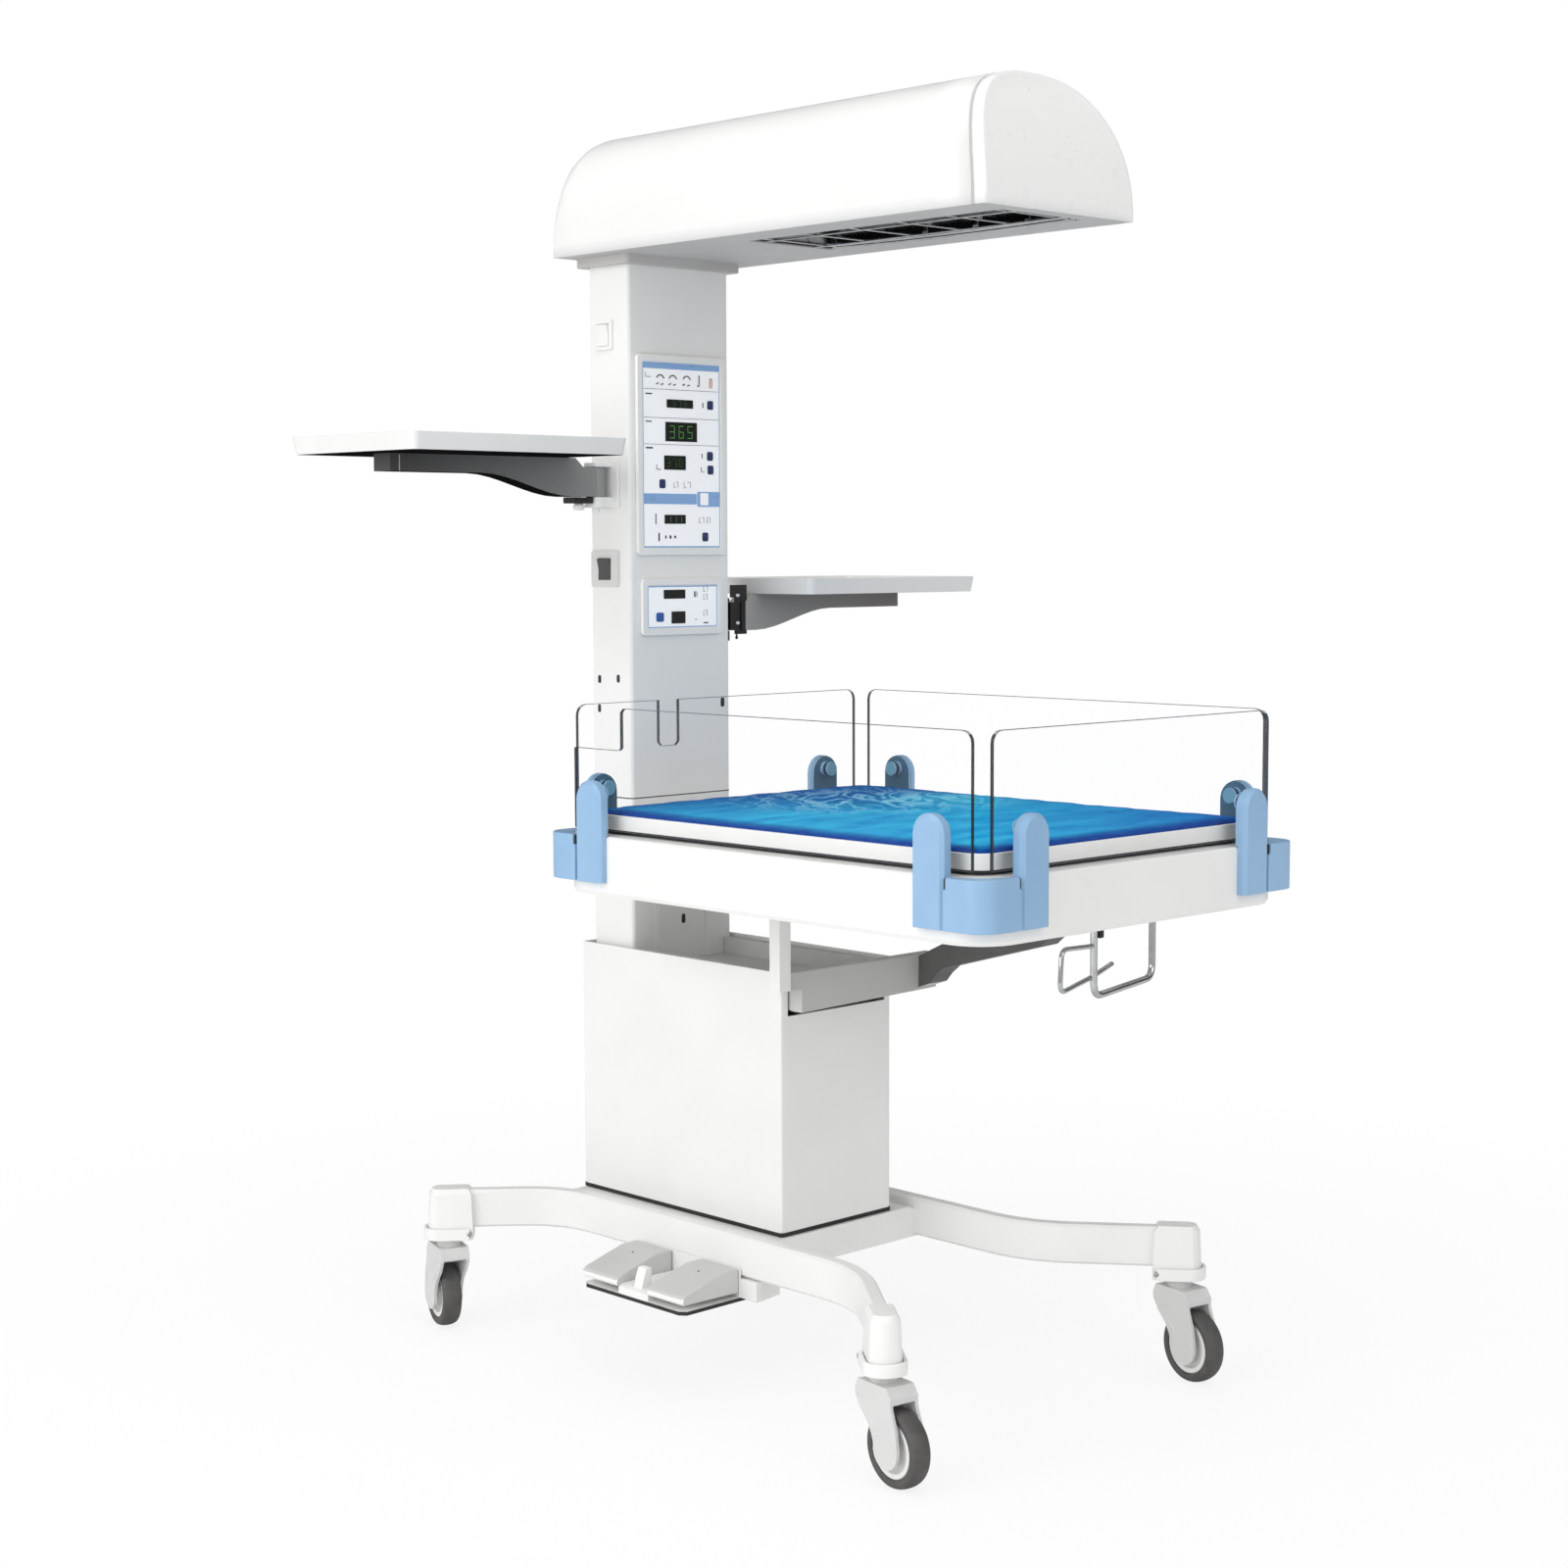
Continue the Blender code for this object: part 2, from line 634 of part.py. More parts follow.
for tag, sx, sy, ax, ay, trail in SWIVELS:
    turn = Matrix.Translation((sx, sy, 0.0)) @ Matrix.Rotation(math.radians(trail), 4, "Z")
    pieces = []
    for low, high in ((-arm_in - FORK_WALL, -arm_in), (arm_in, arm_in + FORK_WALL)):
        bm = bmesh.new()
        prism(bm, fork_side, "y", low, high)
        pieces.append(bm)
    bm = bmesh.new()
    prism(bm, crown, "y", -arm_in - 0.002, arm_in + 0.002)
    pieces.append(bm)
    bm = bmesh.new()
    rod(bm, (0, 0, fork_top - 0.006), (0, 0, CAP_BOTTOM - GAP), BEARING_RADIUS, 16)
    pieces.append(bm)
    bm = bmesh.new()
    rod(
        bm, (WHEEL_TRAIL, -arm_in - 0.002, axle_z), (WHEEL_TRAIL, arm_in + 0.002, axle_z), AXLE_RADIUS,
        12,
    )
    pieces.append(bm)
    made = []
    for bm in pieces:
        bmesh.ops.transform(bm, matrix=turn, verts=bm.verts)
        made.append(finish("caster_fork_" + tag, bm, LIGHT_GREY))
    fuse(made[0], made[1:])
    made[0].name = "caster_fork_" + tag
    spin = turn @ Matrix.Translation(
        (WHEEL_TRAIL, 0, axle_z)
    ) @ Matrix.Rotation(math.radians(90), 4, "X")
    bm = bmesh.new()
    lathe(bm, wheel_profile, 24, spin)
    finish("caster_wheel_" + tag, bm, RUBBER)

# Cabinet cover around the lift, open at the top, lower in front for the carrier
beam_top = BED_BOTTOM - CARRIER_DROP + CARRIER_HEIGHT
bm = bmesh.new()
ring_prism(
    bm, round_rect(-CABINET_HALF, CABINET_HALF, CABINET_FRONT, CABINET_REAR, 0.006, 2),
    round_rect(
        -CABINET_HALF + CABINET_WALL, CABINET_HALF - CABINET_WALL, CABINET_FRONT + CABINET_WALL,
        CABINET_REAR - CABINET_WALL, 0.003, 2,
    ),
    "z", CABINET_BOTTOM, CABINET_TOP,
)
cabinet = finish("cabinet_cover", bm, WHITE_STEEL)
bm = bmesh.new()
cheek_out = COLUMN_HALF - 0.005
box(
    bm, -cheek_out - 0.003, cheek_out + 0.003, CABINET_FRONT - 0.02, CABINET_FRONT + 0.02,
    BED_BOTTOM - CARRIER_DROP - 0.009, max(CABINET_TOP, beam_top) + 0.05,
)
cut(cabinet, finish("opening", bm, WHITE_STEEL))

# Lift guide in the column, on a floor plate that also carries the cabinet
inner_half = COLUMN_HALF - COLUMN_WALL
bm = bmesh.new()
guide_half = inner_half - GUIDE_SIDE
guide_front = COLUMN_WALL + GUIDE_CLEAR
guide_rear = COLUMN_DEPTH - COLUMN_WALL - GUIDE_CLEAR
ring_prism(
    bm, round_rect(-guide_half, guide_half, guide_front, guide_rear, 0.006, 2),
    round_rect(
        -guide_half + GUIDE_WALL, guide_half - GUIDE_WALL, guide_front + GUIDE_WALL,
        guide_rear - GUIDE_WALL, 0.003, 2,
    ),
    "z", FRAME_TOP + 0.001, GUIDE_TOP,
)
guide = finish("lift_guide", bm, GREY_STEEL)
bm = bmesh.new()
box(
    bm, -CABINET_HALF + 0.001, CABINET_HALF - 0.001, CABINET_FRONT + 0.001, CABINET_REAR - 0.001,
    FRAME_TOP + GAP, CABINET_BOTTOM - GAP,
)
fuse(guide, [finish("plate", bm, GREY_STEEL)])

# Column covers, the upper one with the two switch bezels
outer = round_rect(-COLUMN_HALF, COLUMN_HALF, 0.0, COLUMN_DEPTH, 0.007, 3)
inner = round_rect(-inner_half, inner_half, COLUMN_WALL, COLUMN_DEPTH - COLUMN_WALL, 0.004, 3)
bm = bmesh.new()
ring_prism(bm, outer, inner, "z", COLUMN_FOOT_Z, COLUMN_SEAM_Z - SEAM_GAP / 2)
finish("column_lower", bm, WHITE_STEEL)
bm = bmesh.new()
ring_prism(bm, outer, inner, "z", COLUMN_SEAM_Z + SEAM_GAP / 2, HOOD_Z - GAP)
column = finish("column_upper", bm, WHITE_STEEL)
side = -COLUMN_HALF
rocker_y = ROCKER_WIDTH / 2
rocker_z = ROCKER_HEIGHT / 2
bezels = []
for mid, wide, tall in ((POWER_Z, 0.0175, 0.0110), (LAMP_Z, 0.0070, 0.0055)):
    bm = bmesh.new()
    hole_y = rocker_y + ROCKER_CLEAR
    hole_z = rocker_z + ROCKER_CLEAR
    ring_prism(
        bm,
        round_rect(
            SWITCH_Y - hole_y - wide, SWITCH_Y + hole_y + wide, mid - hole_z - tall,
            mid + hole_z + tall, 0.004, 2,
        ),
        round_rect(SWITCH_Y - hole_y, SWITCH_Y + hole_y, mid - hole_z, mid + hole_z, 0.001, 2), "x",
        side - BEZEL_THICK, side + 0.001,
    )
    bezels.append(finish("bezel", bm, WHITE_STEEL))
fuse(column, bezels)

# Rocker switches in the bezels, each resting on one of its two ends
for name, mid, mat in (("power_switch", POWER_Z, BLACK), ("lamp_switch", LAMP_Z, WHITE_PLASTIC)):
    bm = bmesh.new()
    deep = GAP + rocker_z * math.tan(math.radians(ROCKER_TILT)) + 0.0002
    front = BEZEL_THICK + 0.0010
    ends = BEZEL_THICK + 0.0030
    outline = [
        (-deep, -rocker_z), (-ends, -rocker_z), (-front, 0.0), (-ends, rocker_z), (-deep, rocker_z),
        (-GAP, 0.0),
    ]
    prism(bm, outline, "y", SWITCH_Y - rocker_y, SWITCH_Y + rocker_y)
    lean = Matrix.Translation((side, 0, mid)) @ Matrix.Rotation(math.radians(-ROCKER_TILT), 4, "Y")
    bmesh.ops.transform(bm, matrix=lean, verts=bm.verts)
    finish(name, bm, mat)

# Control panels: raised frame with a sunk fascia, main and auxiliary
for name, half, low, high in (
    ("control_panel", PANEL_HALF, PANEL_BOTTOM, PANEL_TOP), ("aux_panel", AUX_HALF, AUX_BOTTOM, AUX_TOP),
):
    bm = bmesh.new()
    prism(bm, round_rect(-half, half, low, high, 0.007, 3), "y", -GAP - PANEL_THICK, -GAP)
    panel = finish(name, bm, WHITE_PLASTIC)
    bm = bmesh.new()
    prism(
        bm,
        round_rect(-half + PANEL_RIM, half - PANEL_RIM, low + PANEL_RIM, high - PANEL_RIM, 0.004, 3),
        "y", -GAP - PANEL_THICK - 0.005, -GAP - PANEL_THICK + FASCIA_SINK,
    )
    cut(panel, finish("sink", bm, WHITE_PLASTIC))

# Hood: arched shell, front cap, underside pan with the collar of the column
ARCH = 18


def arch_row(y, half, rise, lean=0.0, squash=1.0):
    row = []
    for i in range(ARCH + 1):
        t = math.pi * i / ARCH
        c = math.cos(t)
        s = math.sin(t)
        x = math.copysign(abs(c) ** (2 / 2.7), c) * half
        h = abs(s) ** (2 / 2.7) if s > 1e-9 else 0.0
        row.append((x * (1 - (1 - squash) * 0.5 * h), y + lean * h * h, HOOD_Z + h * rise * squash))
    return row


hw = HOOD_WALL
in_half = HOOD_HALF - hw
in_rise = HOOD_RISE - hw
bm = bmesh.new()
outer = [
    arch_row(HOOD_REAR, HOOD_HALF, HOOD_RISE, 0, 0.90),
    arch_row(HOOD_REAR - 0.005, HOOD_HALF, HOOD_RISE, 0, 0.955),
    arch_row(HOOD_REAR - 0.016, HOOD_HALF, HOOD_RISE, 0, 0.988),
    arch_row(HOOD_REAR - 0.034, HOOD_HALF, HOOD_RISE),
    arch_row(HOOD_SEAM + GAP, HOOD_HALF, HOOD_RISE, HOOD_LEAN),
]
inner = [
    arch_row(HOOD_REAR - hw, in_half, in_rise, 0, 0.89),
    arch_row(HOOD_REAR - hw - 0.004, in_half, in_rise, 0, 0.945),
    arch_row(HOOD_REAR - hw - 0.014, in_half, in_rise, 0, 0.985),
    arch_row(HOOD_REAR - hw - 0.030, in_half, in_rise),
    arch_row(HOOD_SEAM + GAP, in_half, in_rise, HOOD_LEAN),
]
shell(bm, outer, inner)
finish("hood_shell", bm, WHITE_PLASTIC)
bm = bmesh.new()
outer = [
    arch_row(HOOD_FRONT, HOOD_HALF, HOOD_RISE, HOOD_LEAN, 0.985),
    arch_row(HOOD_FRONT + 0.004, HOOD_HALF, HOOD_RISE, HOOD_LEAN),
    arch_row(HOOD_SEAM - GAP, HOOD_HALF, HOOD_RISE, HOOD_LEAN),
]
inner = [
    arch_row(HOOD_FRONT + hw, in_half, in_rise, HOOD_LEAN, 0.975),
    arch_row(HOOD_FRONT + hw + 0.004, in_half, in_rise, HOOD_LEAN),
    arch_row(HOOD_SEAM - GAP, in_half, in_rise, HOOD_LEAN),
]
shell(bm, outer, inner)
finish("hood_end_cap", bm, LIGHT_GREY)
bm = bmesh.new()
pan_half = in_half - PAN_CLEAR
ring_prism(
    bm,
    round_rect(-pan_half, pan_half, HOOD_FRONT + hw + PAN_CLEAR, HOOD_REAR - hw - PAN_CLEAR, 0.004, 2),
    round_rect(-HEATER_HALF, HEATER_HALF, HEATER_FRONT, HEATER_REAR, 0.004, 2), "z", HOOD_Z,
    HOOD_Z + PAN_THICK,
)
pan = finish("hood_pan", bm, GREY_STEEL)
bm = bmesh.new()
ring_prism(
    bm,
    round_rect(
        -COLUMN_HALF - COLLAR_WIDTH, COLUMN_HALF + COLLAR_WIDTH, -COLLAR_WIDTH,
        COLUMN_DEPTH + COLLAR_WIDTH, 0.010, 3,
    ),
    round_rect(-COLUMN_HALF - GAP, COLUMN_HALF + GAP, -GAP, COLUMN_DEPTH + GAP, 0.0073, 3), "z",
    HOOD_Z - COLLAR_HEIGHT, HOOD_Z + 0.001,
)
fuse(pan, [finish("collar", bm, GREY_STEEL)])

# Heater: reflector trough, heating element, wire guard
lip = 0.008
deep = HOOD_Z + PAN_THICK + GAP + REFLECTOR_DEPTH


def heater_rect(grow, radius):
    return round_rect(
        -HEATER_HALF - grow, HEATER_HALF + grow, HEATER_FRONT - grow, HEATER_REAR + grow, radius, 2,
    )


bm = bmesh.new()
open_box(
    bm, heater_rect(-0.012, 0.003), heater_rect(-0.012 - REFLECTOR_SHEET, 0.003),
    heater_rect(lip, 0.003), heater_rect(lip - REFLECTOR_SHEET, 0.003), deep, deep - REFLECTOR_SHEET,
    HOOD_Z + PAN_THICK + GAP,
)
finish("heater_reflector", bm, BRIGHT)
rod_z = HOOD_Z + PAN_THICK + REFLECTOR_DEPTH * 0.5
rod_front = HEATER_FRONT + 0.0105
rod_rear = HEATER_REAR - 0.0105
rods = []
for x in (-ROD_PITCH, 0.0, ROD_PITCH):
    bm = bmesh.new()
    rod(bm, (x, rod_front, rod_z), (x, rod_rear, rod_z), ROD_RADIUS, 12)
    rods.append(finish("heater_element", bm, QUARTZ))
for y in (rod_front + 0.020, rod_rear - 0.020):
    bm = bmesh.new()
    box(
        bm, -ROD_PITCH - 0.012, ROD_PITCH + 0.012, y - 0.005, y + 0.005, rod_z - 0.009,
        deep - REFLECTOR_SHEET - GAP,
    )
    rods.append(finish("tie", bm, QUARTZ))
element = rods[0]
fuse(element, [rods[3], rods[4], rods[1], rods[2]])
element.name = "heater_element"
wires = []
for x in (-HEATER_HALF * 0.7, HEATER_HALF * 0.7):
    bm = bmesh.new()
    rod(
        bm, (x, HEATER_FRONT + GAP, HOOD_Z + 0.0016), (x, HEATER_REAR - GAP, HOOD_Z + 0.0016),
        GUARD_WIRE, 6,
    )
    wires.append(finish("heater_guard", bm, CHROME))
cross = []
for k in range(9):
    y = HEATER_FRONT + HEATER_LENGTH * (k + 0.5) / 9
    bm = bmesh.new()
    rod(
        bm, (-HEATER_HALF + GAP, y, HOOD_Z + 0.0030), (HEATER_HALF - GAP, y, HOOD_Z + 0.0030),
        GUARD_WIRE, 6,
    )
    cross.append(finish("wire", bm, CHROME))
fuse(wires[0], [cross[0], wires[1]] + cross[1:])
wires[0].name = "heater_guard"

# Swivel shelves, left and right: bracket with pin, arm, tray
for tag, sign, base_z, bracket_mat in (
    ("left", -1.0, SHELF_LEFT_Z, WHITE_STEEL), ("right", 1.0, SHELF_RIGHT_Z, BLACK),
):
    near = COLUMN_HALF + GAP
    knuckle_top = base_z - KNUCKLE_DROP
    knuckle_low = knuckle_top - KNUCKLE_HEIGHT
    bm = bmesh.new()
    plate = [
        (sign * near, SHELF_Y - PLATE_WIDTH / 2), (sign * (near + PLATE_THICK), SHELF_Y - PLATE_WIDTH / 2),
        (sign * (near + PLATE_THICK), SHELF_Y + PLATE_WIDTH / 2), (sign * near, SHELF_Y + PLATE_WIDTH / 2),
    ]
    prism(bm, plate, "z", knuckle_low - GAP - LUG_LOW, base_z - 0.002)
    bracket = finish("shelf_bracket_" + tag, bm, bracket_mat)
    parts = []
    for low, high in (
        (knuckle_low - GAP - LUG_LOW, knuckle_low - GAP),
        (knuckle_top + GAP, knuckle_top + GAP + LUG_HIGH),
    ):
        bm = bmesh.new()
        lug = [
            (near + 0.003, -0.018), (SHELF_PIN + 0.004, -0.018), (SHELF_PIN + 0.012, -0.013),
            (SHELF_PIN + 0.017, 0.0), (SHELF_PIN + 0.012, 0.013), (SHELF_PIN + 0.004, 0.018),
            (near + 0.003, 0.018),
        ]
        prism(bm, [(sign * x, SHELF_Y + y) for x, y in lug], "z", low, high)
        parts.append(finish("lug", bm, bracket_mat))
    bm = bmesh.new()
    rod(
        bm, (sign * SHELF_PIN, SHELF_Y, knuckle_low - LUG_LOW - 0.007),
        (sign * SHELF_PIN, SHELF_Y, knuckle_top + 0.003), SHELF_PIN_RADIUS, 12,
    )
    parts.append(finish("pin", bm, bracket_mat))
    fuse(bracket, parts)
    bm = bmesh.new()
    reach = COLUMN_HALF + ARM_REACH
    start = SHELF_PIN + 0.008
    arm = [(start, knuckle_low + 0.0004)]
    for i in range(9):
        t = i / 8
        rise = (base_z - ARM_TIP - knuckle_low) * t * t * (3 - 2 * t)
        arm.append((SHELF_PIN + ARM_BEND_NEAR + (ARM_BEND_FAR - ARM_BEND_NEAR) * t, knuckle_low + rise))
    arm += [
        (reach, base_z - ARM_TIP), (reach, base_z - GAP), (SHELF_PIN + 0.056, base_z - GAP),
        (SHELF_PIN + 0.041, knuckle_top - 0.0004), (start, knuckle_top - 0.0004),
    ]
    prism(bm, [(sign * x, z) for x, z in arm], "y", SHELF_Y - ARM_WIDTH / 2, SHELF_Y + ARM_WIDTH / 2)
    arm_obj = finish("shelf_arm_" + tag, bm, GREY_STEEL)
    bm = bmesh.new()
    half = [
        (-0.002, ARM_WIDTH), (0.032, ARM_WIDTH), (0.032, 0.0160), (0.0176, 0.0160), (0.0176, 0.0120),
        (0.0, 0.0120),
    ]
    plan = [(SHELF_PIN + u, -v) for u, v in half] + [(SHELF_PIN + u, v) for u, v in reversed(half)]
    prism(bm, [(sign * x, SHELF_Y + y) for x, y in plan], "z", knuckle_low - 0.01, knuckle_top + 0.005)
    cut(arm_obj, finish("relief", bm, GREY_STEEL))
    bm = bmesh.new()
    rod(
        bm, (sign * SHELF_PIN, SHELF_Y, knuckle_low), (sign * SHELF_PIN, SHELF_Y, knuckle_top),
        KNUCKLE_RADIUS, 18,
    )
    fuse(arm_obj, [finish("knuckle", bm, GREY_STEEL)])
    bm = bmesh.new()
    rod(
        bm, (sign * SHELF_PIN, SHELF_Y, knuckle_low - 0.01),
        (sign * SHELF_PIN, SHELF_Y, knuckle_top + 0.01), SHELF_PIN_RADIUS + 0.0004, 18,
    )
    cut(arm_obj, finish("bore", bm, GREY_STEEL))
    lo = sorted((sign * (COLUMN_HALF + SHELF_NEAR), sign * (COLUMN_HALF + SHELF_NEAR + SHELF_WIDTH)))
    y0 = SHELF_Y - SHELF_DEPTH / 2
    y1 = SHELF_Y + SHELF_DEPTH / 2

    def tray_rect(inset, radius):
        return round_rect(lo[0] + inset, lo[1] - inset, y0 + inset, y1 - inset, radius, 3)

    bm = bmesh.new()
    open_box(
        bm, tray_rect(0.004, 0.010), tray_rect(0.004 + SHELF_SHEET, 0.009), tray_rect(0.0, 0.012),
        tray_rect(SHELF_SHEET, 0.010), base_z, base_z + SHELF_SHEET, base_z + SHELF_RIM,
    )
    finish("shelf_tray_" + tag, bm, LIGHT_GREY)

# Carrier between column and bed: cheeks, floor, cross beam, post, side arm, head bracket
low_z = BED_BOTTOM - CARRIER_DROP
high_z = low_z + CARRIER_HEIGHT
beam_rear = CABINET_FRONT - 0.0035
beam_front = beam_rear - BEAM_THICK
parts = []
for x0, x1 in ((-cheek_out, -cheek_out + CARRIER_CHEEK), (cheek_out - CARRIER_CHEEK, cheek_out)):
    bm = bmesh.new()
    box(bm, x0, x1, beam_rear - 0.004, -GAP, low_z, high_z)
    parts.append(finish("cheek", bm, GREY_STEEL))
bm = bmesh.new()
box(bm, -cheek_out + 0.002, cheek_out - 0.002, beam_rear - 0.004, -GAP, low_z + 0.022, low_z + 0.028)
carrier = finish("bed_carrier", bm, GREY_STEEL)
bm = bmesh.new()
beam = [
    (-BEAM_LEFT - 0.012, high_z + 0.004), (BEAM_RIGHT, high_z + 0.004),
    (BEAM_RIGHT, high_z + 0.006 - BEAM_HEIGHT), (-BEAM_LEFT + 0.010, high_z + 0.001 - BEAM_HEIGHT),
    (-BEAM_LEFT + 0.010, low_z + 0.034), (-BEAM_LEFT - 0.012, low_z + 0.034),
]
prism(bm, beam, "y", beam_front, beam_rear)
parts.append(finish("beam", bm, GREY_STEEL))
bm = bmesh.new()
box(
    bm, -BEAM_LEFT - 0.011 - CARRIER_POST, -BEAM_LEFT - 0.011, beam_front - 0.020, beam_rear,
    low_z + 0.034, BED_BOTTOM - GAP,
)
parts.append(finish("post", bm, GREY_STEEL))
bm = bmesh.new()
tip = beam_front - ARM_FRONT
arm = [
    (beam_front + 0.004, low_z + 0.006), (beam_front - 0.024, low_z + 0.016),
    (beam_front - 0.036, low_z + 0.030), (beam_front - 0.052, low_z + 0.043),
    (tip + 0.112, low_z + 0.070), (tip + 0.015, low_z + 0.097), (tip, low_z + 0.110),
    (tip, BED_BOTTOM - GAP), (tip + 0.072, BED_BOTTOM - GAP), (tip + 0.087, low_z + 0.140),
    (beam_front + 0.004, high_z),
]
prism(bm, arm, "x", BEAM_RIGHT - 0.001 - ARM_PLATE, BEAM_RIGHT - 0.001)
parts.append(finish("arm", bm, GREY_STEEL))
bm = bmesh.new()
box(bm, -0.080, 0.080, -BED_REAR_GAP + GAP, -GAP, BED_BOTTOM + 0.008, BED_TOP - 0.025)
parts.append(finish("head", bm, GREY_STEEL))
bm = bmesh.new()
for x0, x1 in ((-0.060, -0.048),):
    box(bm, x0, x1, -0.060, -GAP, low_z + 0.024, BED_BOTTOM + 0.020)
parts.append(finish("web", bm, GREY_STEEL))
bm = bmesh.new()
box(bm, 0.048, 0.060, -0.060, -GAP, low_z + 0.024, BED_BOTTOM + 0.020)
parts.append(finish("web", bm, GREY_STEEL))
fuse(carrier, parts)

# Bed chassis: white pan open below, with two rails that the carrier holds


def bed_rect(inset):
    return round_rect(
        -BED_HALF_X + inset, BED_HALF_X - inset, BED_FRONT + inset, BED_REAR - inset,
        BED_CORNER - inset, 6,
    )


bm = bmesh.new()
loops = [
    add_loop(bm, [(a, b, z) for a, b in bed_rect(inset)])
    for inset, z in (
        (BED_WALL, BED_TOP - BED_WALL), (BED_WALL, BED_BOTTOM + 0.006), (BED_WALL + 0.004, BED_BOTTOM),
        (0.004, BED_BOTTOM), (0.0, BED_BOTTOM + 0.006), (0.0, BED_TOP - 0.003), (0.003, BED_TOP),
    )
]
for first, second in zip(loops, loops[1:]):
    bridge(bm, first, second)
bm.faces.new(loops[0])
bm.faces.new(loops[-1])
chassis = finish("bed_chassis", bm, WHITE_STEEL)
rails = []
post_x = -BEAM_LEFT - 0.011 - CARRIER_POST / 2
for mid in (post_x, BEAM_RIGHT - 0.001 - ARM_PLATE / 2):
    bm = bmesh.new()
    box(
        bm, mid - 0.026, mid + 0.026, BED_FRONT + 0.002, BED_REAR - 0.002, BED_BOTTOM + 0.0002,
        BED_TOP - BED_WALL + 0.002,
    )
    rails.append(finish("rail", bm, WHITE_STEEL))
fuse(chassis, rails)

# Blue corner blocks round the chassis corners, flush with the posts at their ends
edge_x = POST_MID_X + POST_WIDTH / 2 + 0.0006
edge_y = POST_MID_Y + POST_WIDTH / 2 + 0.0006


def block_line(offset, radius):
    """Line round one corner at an offset from the chassis sides, from post to post."""
    cx = BED_HALF_X + offset - radius
    cy = BED_HALF_Y + offset - radius
    first = math.asin(max(edge_x - cx, 0.0) / radius)
    last = math.acos(max(edge_y - cy, 0.0) / radius)
    turns = [first + (last - first) * i / 8 for i in range(9)]
    line = [(cx + radius * math.sin(t), cy + radius * math.cos(t)) for t in turns]
    if edge_x < cx:
        line.insert(0, (edge_x, cy + radius))
    if edge_y < cy:
        line.append((cx + radius, edge_y))
    return line


block_top = BED_TOP + BLOCK_TOP_UP
for tag, sx, sy in (("fl", -1, -1), ("fr", 1, -1), ("rl", -1, 1), ("rr", 1, 1)):
    bm = bmesh.new()
    ring = block_line(POST_OUT, BLOCK_CORNER) + list(reversed(block_line(GAP, BED_CORNER + GAP)))
    prism(bm, [(sx * x, BED_MID + sy * y) for x, y in ring], "z", BED_TOP - POST_DROP, block_top)
    block = finish("corner_block_" + tag, bm, BLUE_PLASTIC)
    for along_x in (True, False):
        bm = bmesh.new()
        if along_x:
            a = sorted((sx * (edge_x - 0.002), sx * (edge_x + LATCH_WIDTH)))
            b = sorted(
                (
                    BED_MID + sy * (BED_HALF_Y + POST_OUT - LATCH_DEPTH),
                    BED_MID + sy * (BED_HALF_Y + POST_OUT + 0.002),
                )
            )
        else:
            a = sorted(
                (sx * (BED_HALF_X + POST_OUT - LATCH_DEPTH), sx * (BED_HALF_X + POST_OUT + 0.002))
            )
            b = sorted((BED_MID + sy * (edge_y - 0.002), BED_MID + sy * (edge_y + LATCH_WIDTH)))
        box(bm, a[0], a[1], b[0], b[1], block_top - LATCH_HEIGHT, block_top + 0.002)
        cut(block, finish("latch", bm, BLUE_PLASTIC))

# Black seat ring under the platform


def tray_plan(inset, radius):
    return round_rect(
        -TRAY_HALF_X + inset, TRAY_HALF_X - inset, BED_MID - TRAY_HALF_Y + inset,
        BED_MID + TRAY_HALF_Y - inset, radius, 4,
    )


bm = bmesh.new()
ring_prism(
    bm, tray_plan(SEAT_INSET, 0.030), tray_plan(SEAT_INSET + SEAT_WIDTH, 0.020), "z", BED_TOP + GAP,
    TRAY_BOTTOM - GAP,
)
finish("seat_ring", bm, BLACK)

# Mattress platform and mattress
bm = bmesh.new()
open_box(
    bm, tray_plan(0.002, 0.028), tray_plan(TRAY_WALL, 0.026), tray_plan(0.0, 0.030),
    tray_plan(TRAY_WALL, 0.026), TRAY_BOTTOM, TRAY_BOTTOM + 0.003, TRAY_TOP,
)
finish("mattress_platform", bm, WHITE_PLASTIC)
bm = bmesh.new()
z0 = TRAY_BOTTOM + 0.003 + GAP
rows = []
for inset, edge_up, crown_up in (
    (0.004, 0.0, 0.0), (0.0, 0.28, 0.0), (0.0, 0.79, 0.0), (0.003, 1.0, 0.0), (0.010, 1.0, 0.31),
    (0.060, 1.0, 0.62), (0.150, 1.0, 0.87), (0.240, 1.0, 1.0),
):
    z = z0 + MATTRESS_EDGE * edge_up + MATTRESS_CROWN * crown_up
    plan = tray_plan(TRAY_WALL + MATTRESS_CLEAR + inset, max(0.025 - inset * 0.3, 0.004))
    rows.append(add_loop(bm, [(a, b, z) for a, b in plan]))
for first, second in zip(rows, rows[1:]):
    bridge(bm, first, second)
bm.faces.new(rows[0])
bm.faces.new(rows[-1])
finish("mattress", bm, MATTRESS_BLUE)

# Guards: clear panels and the posts that clasp them
half_t = GUARD_THICK / 2


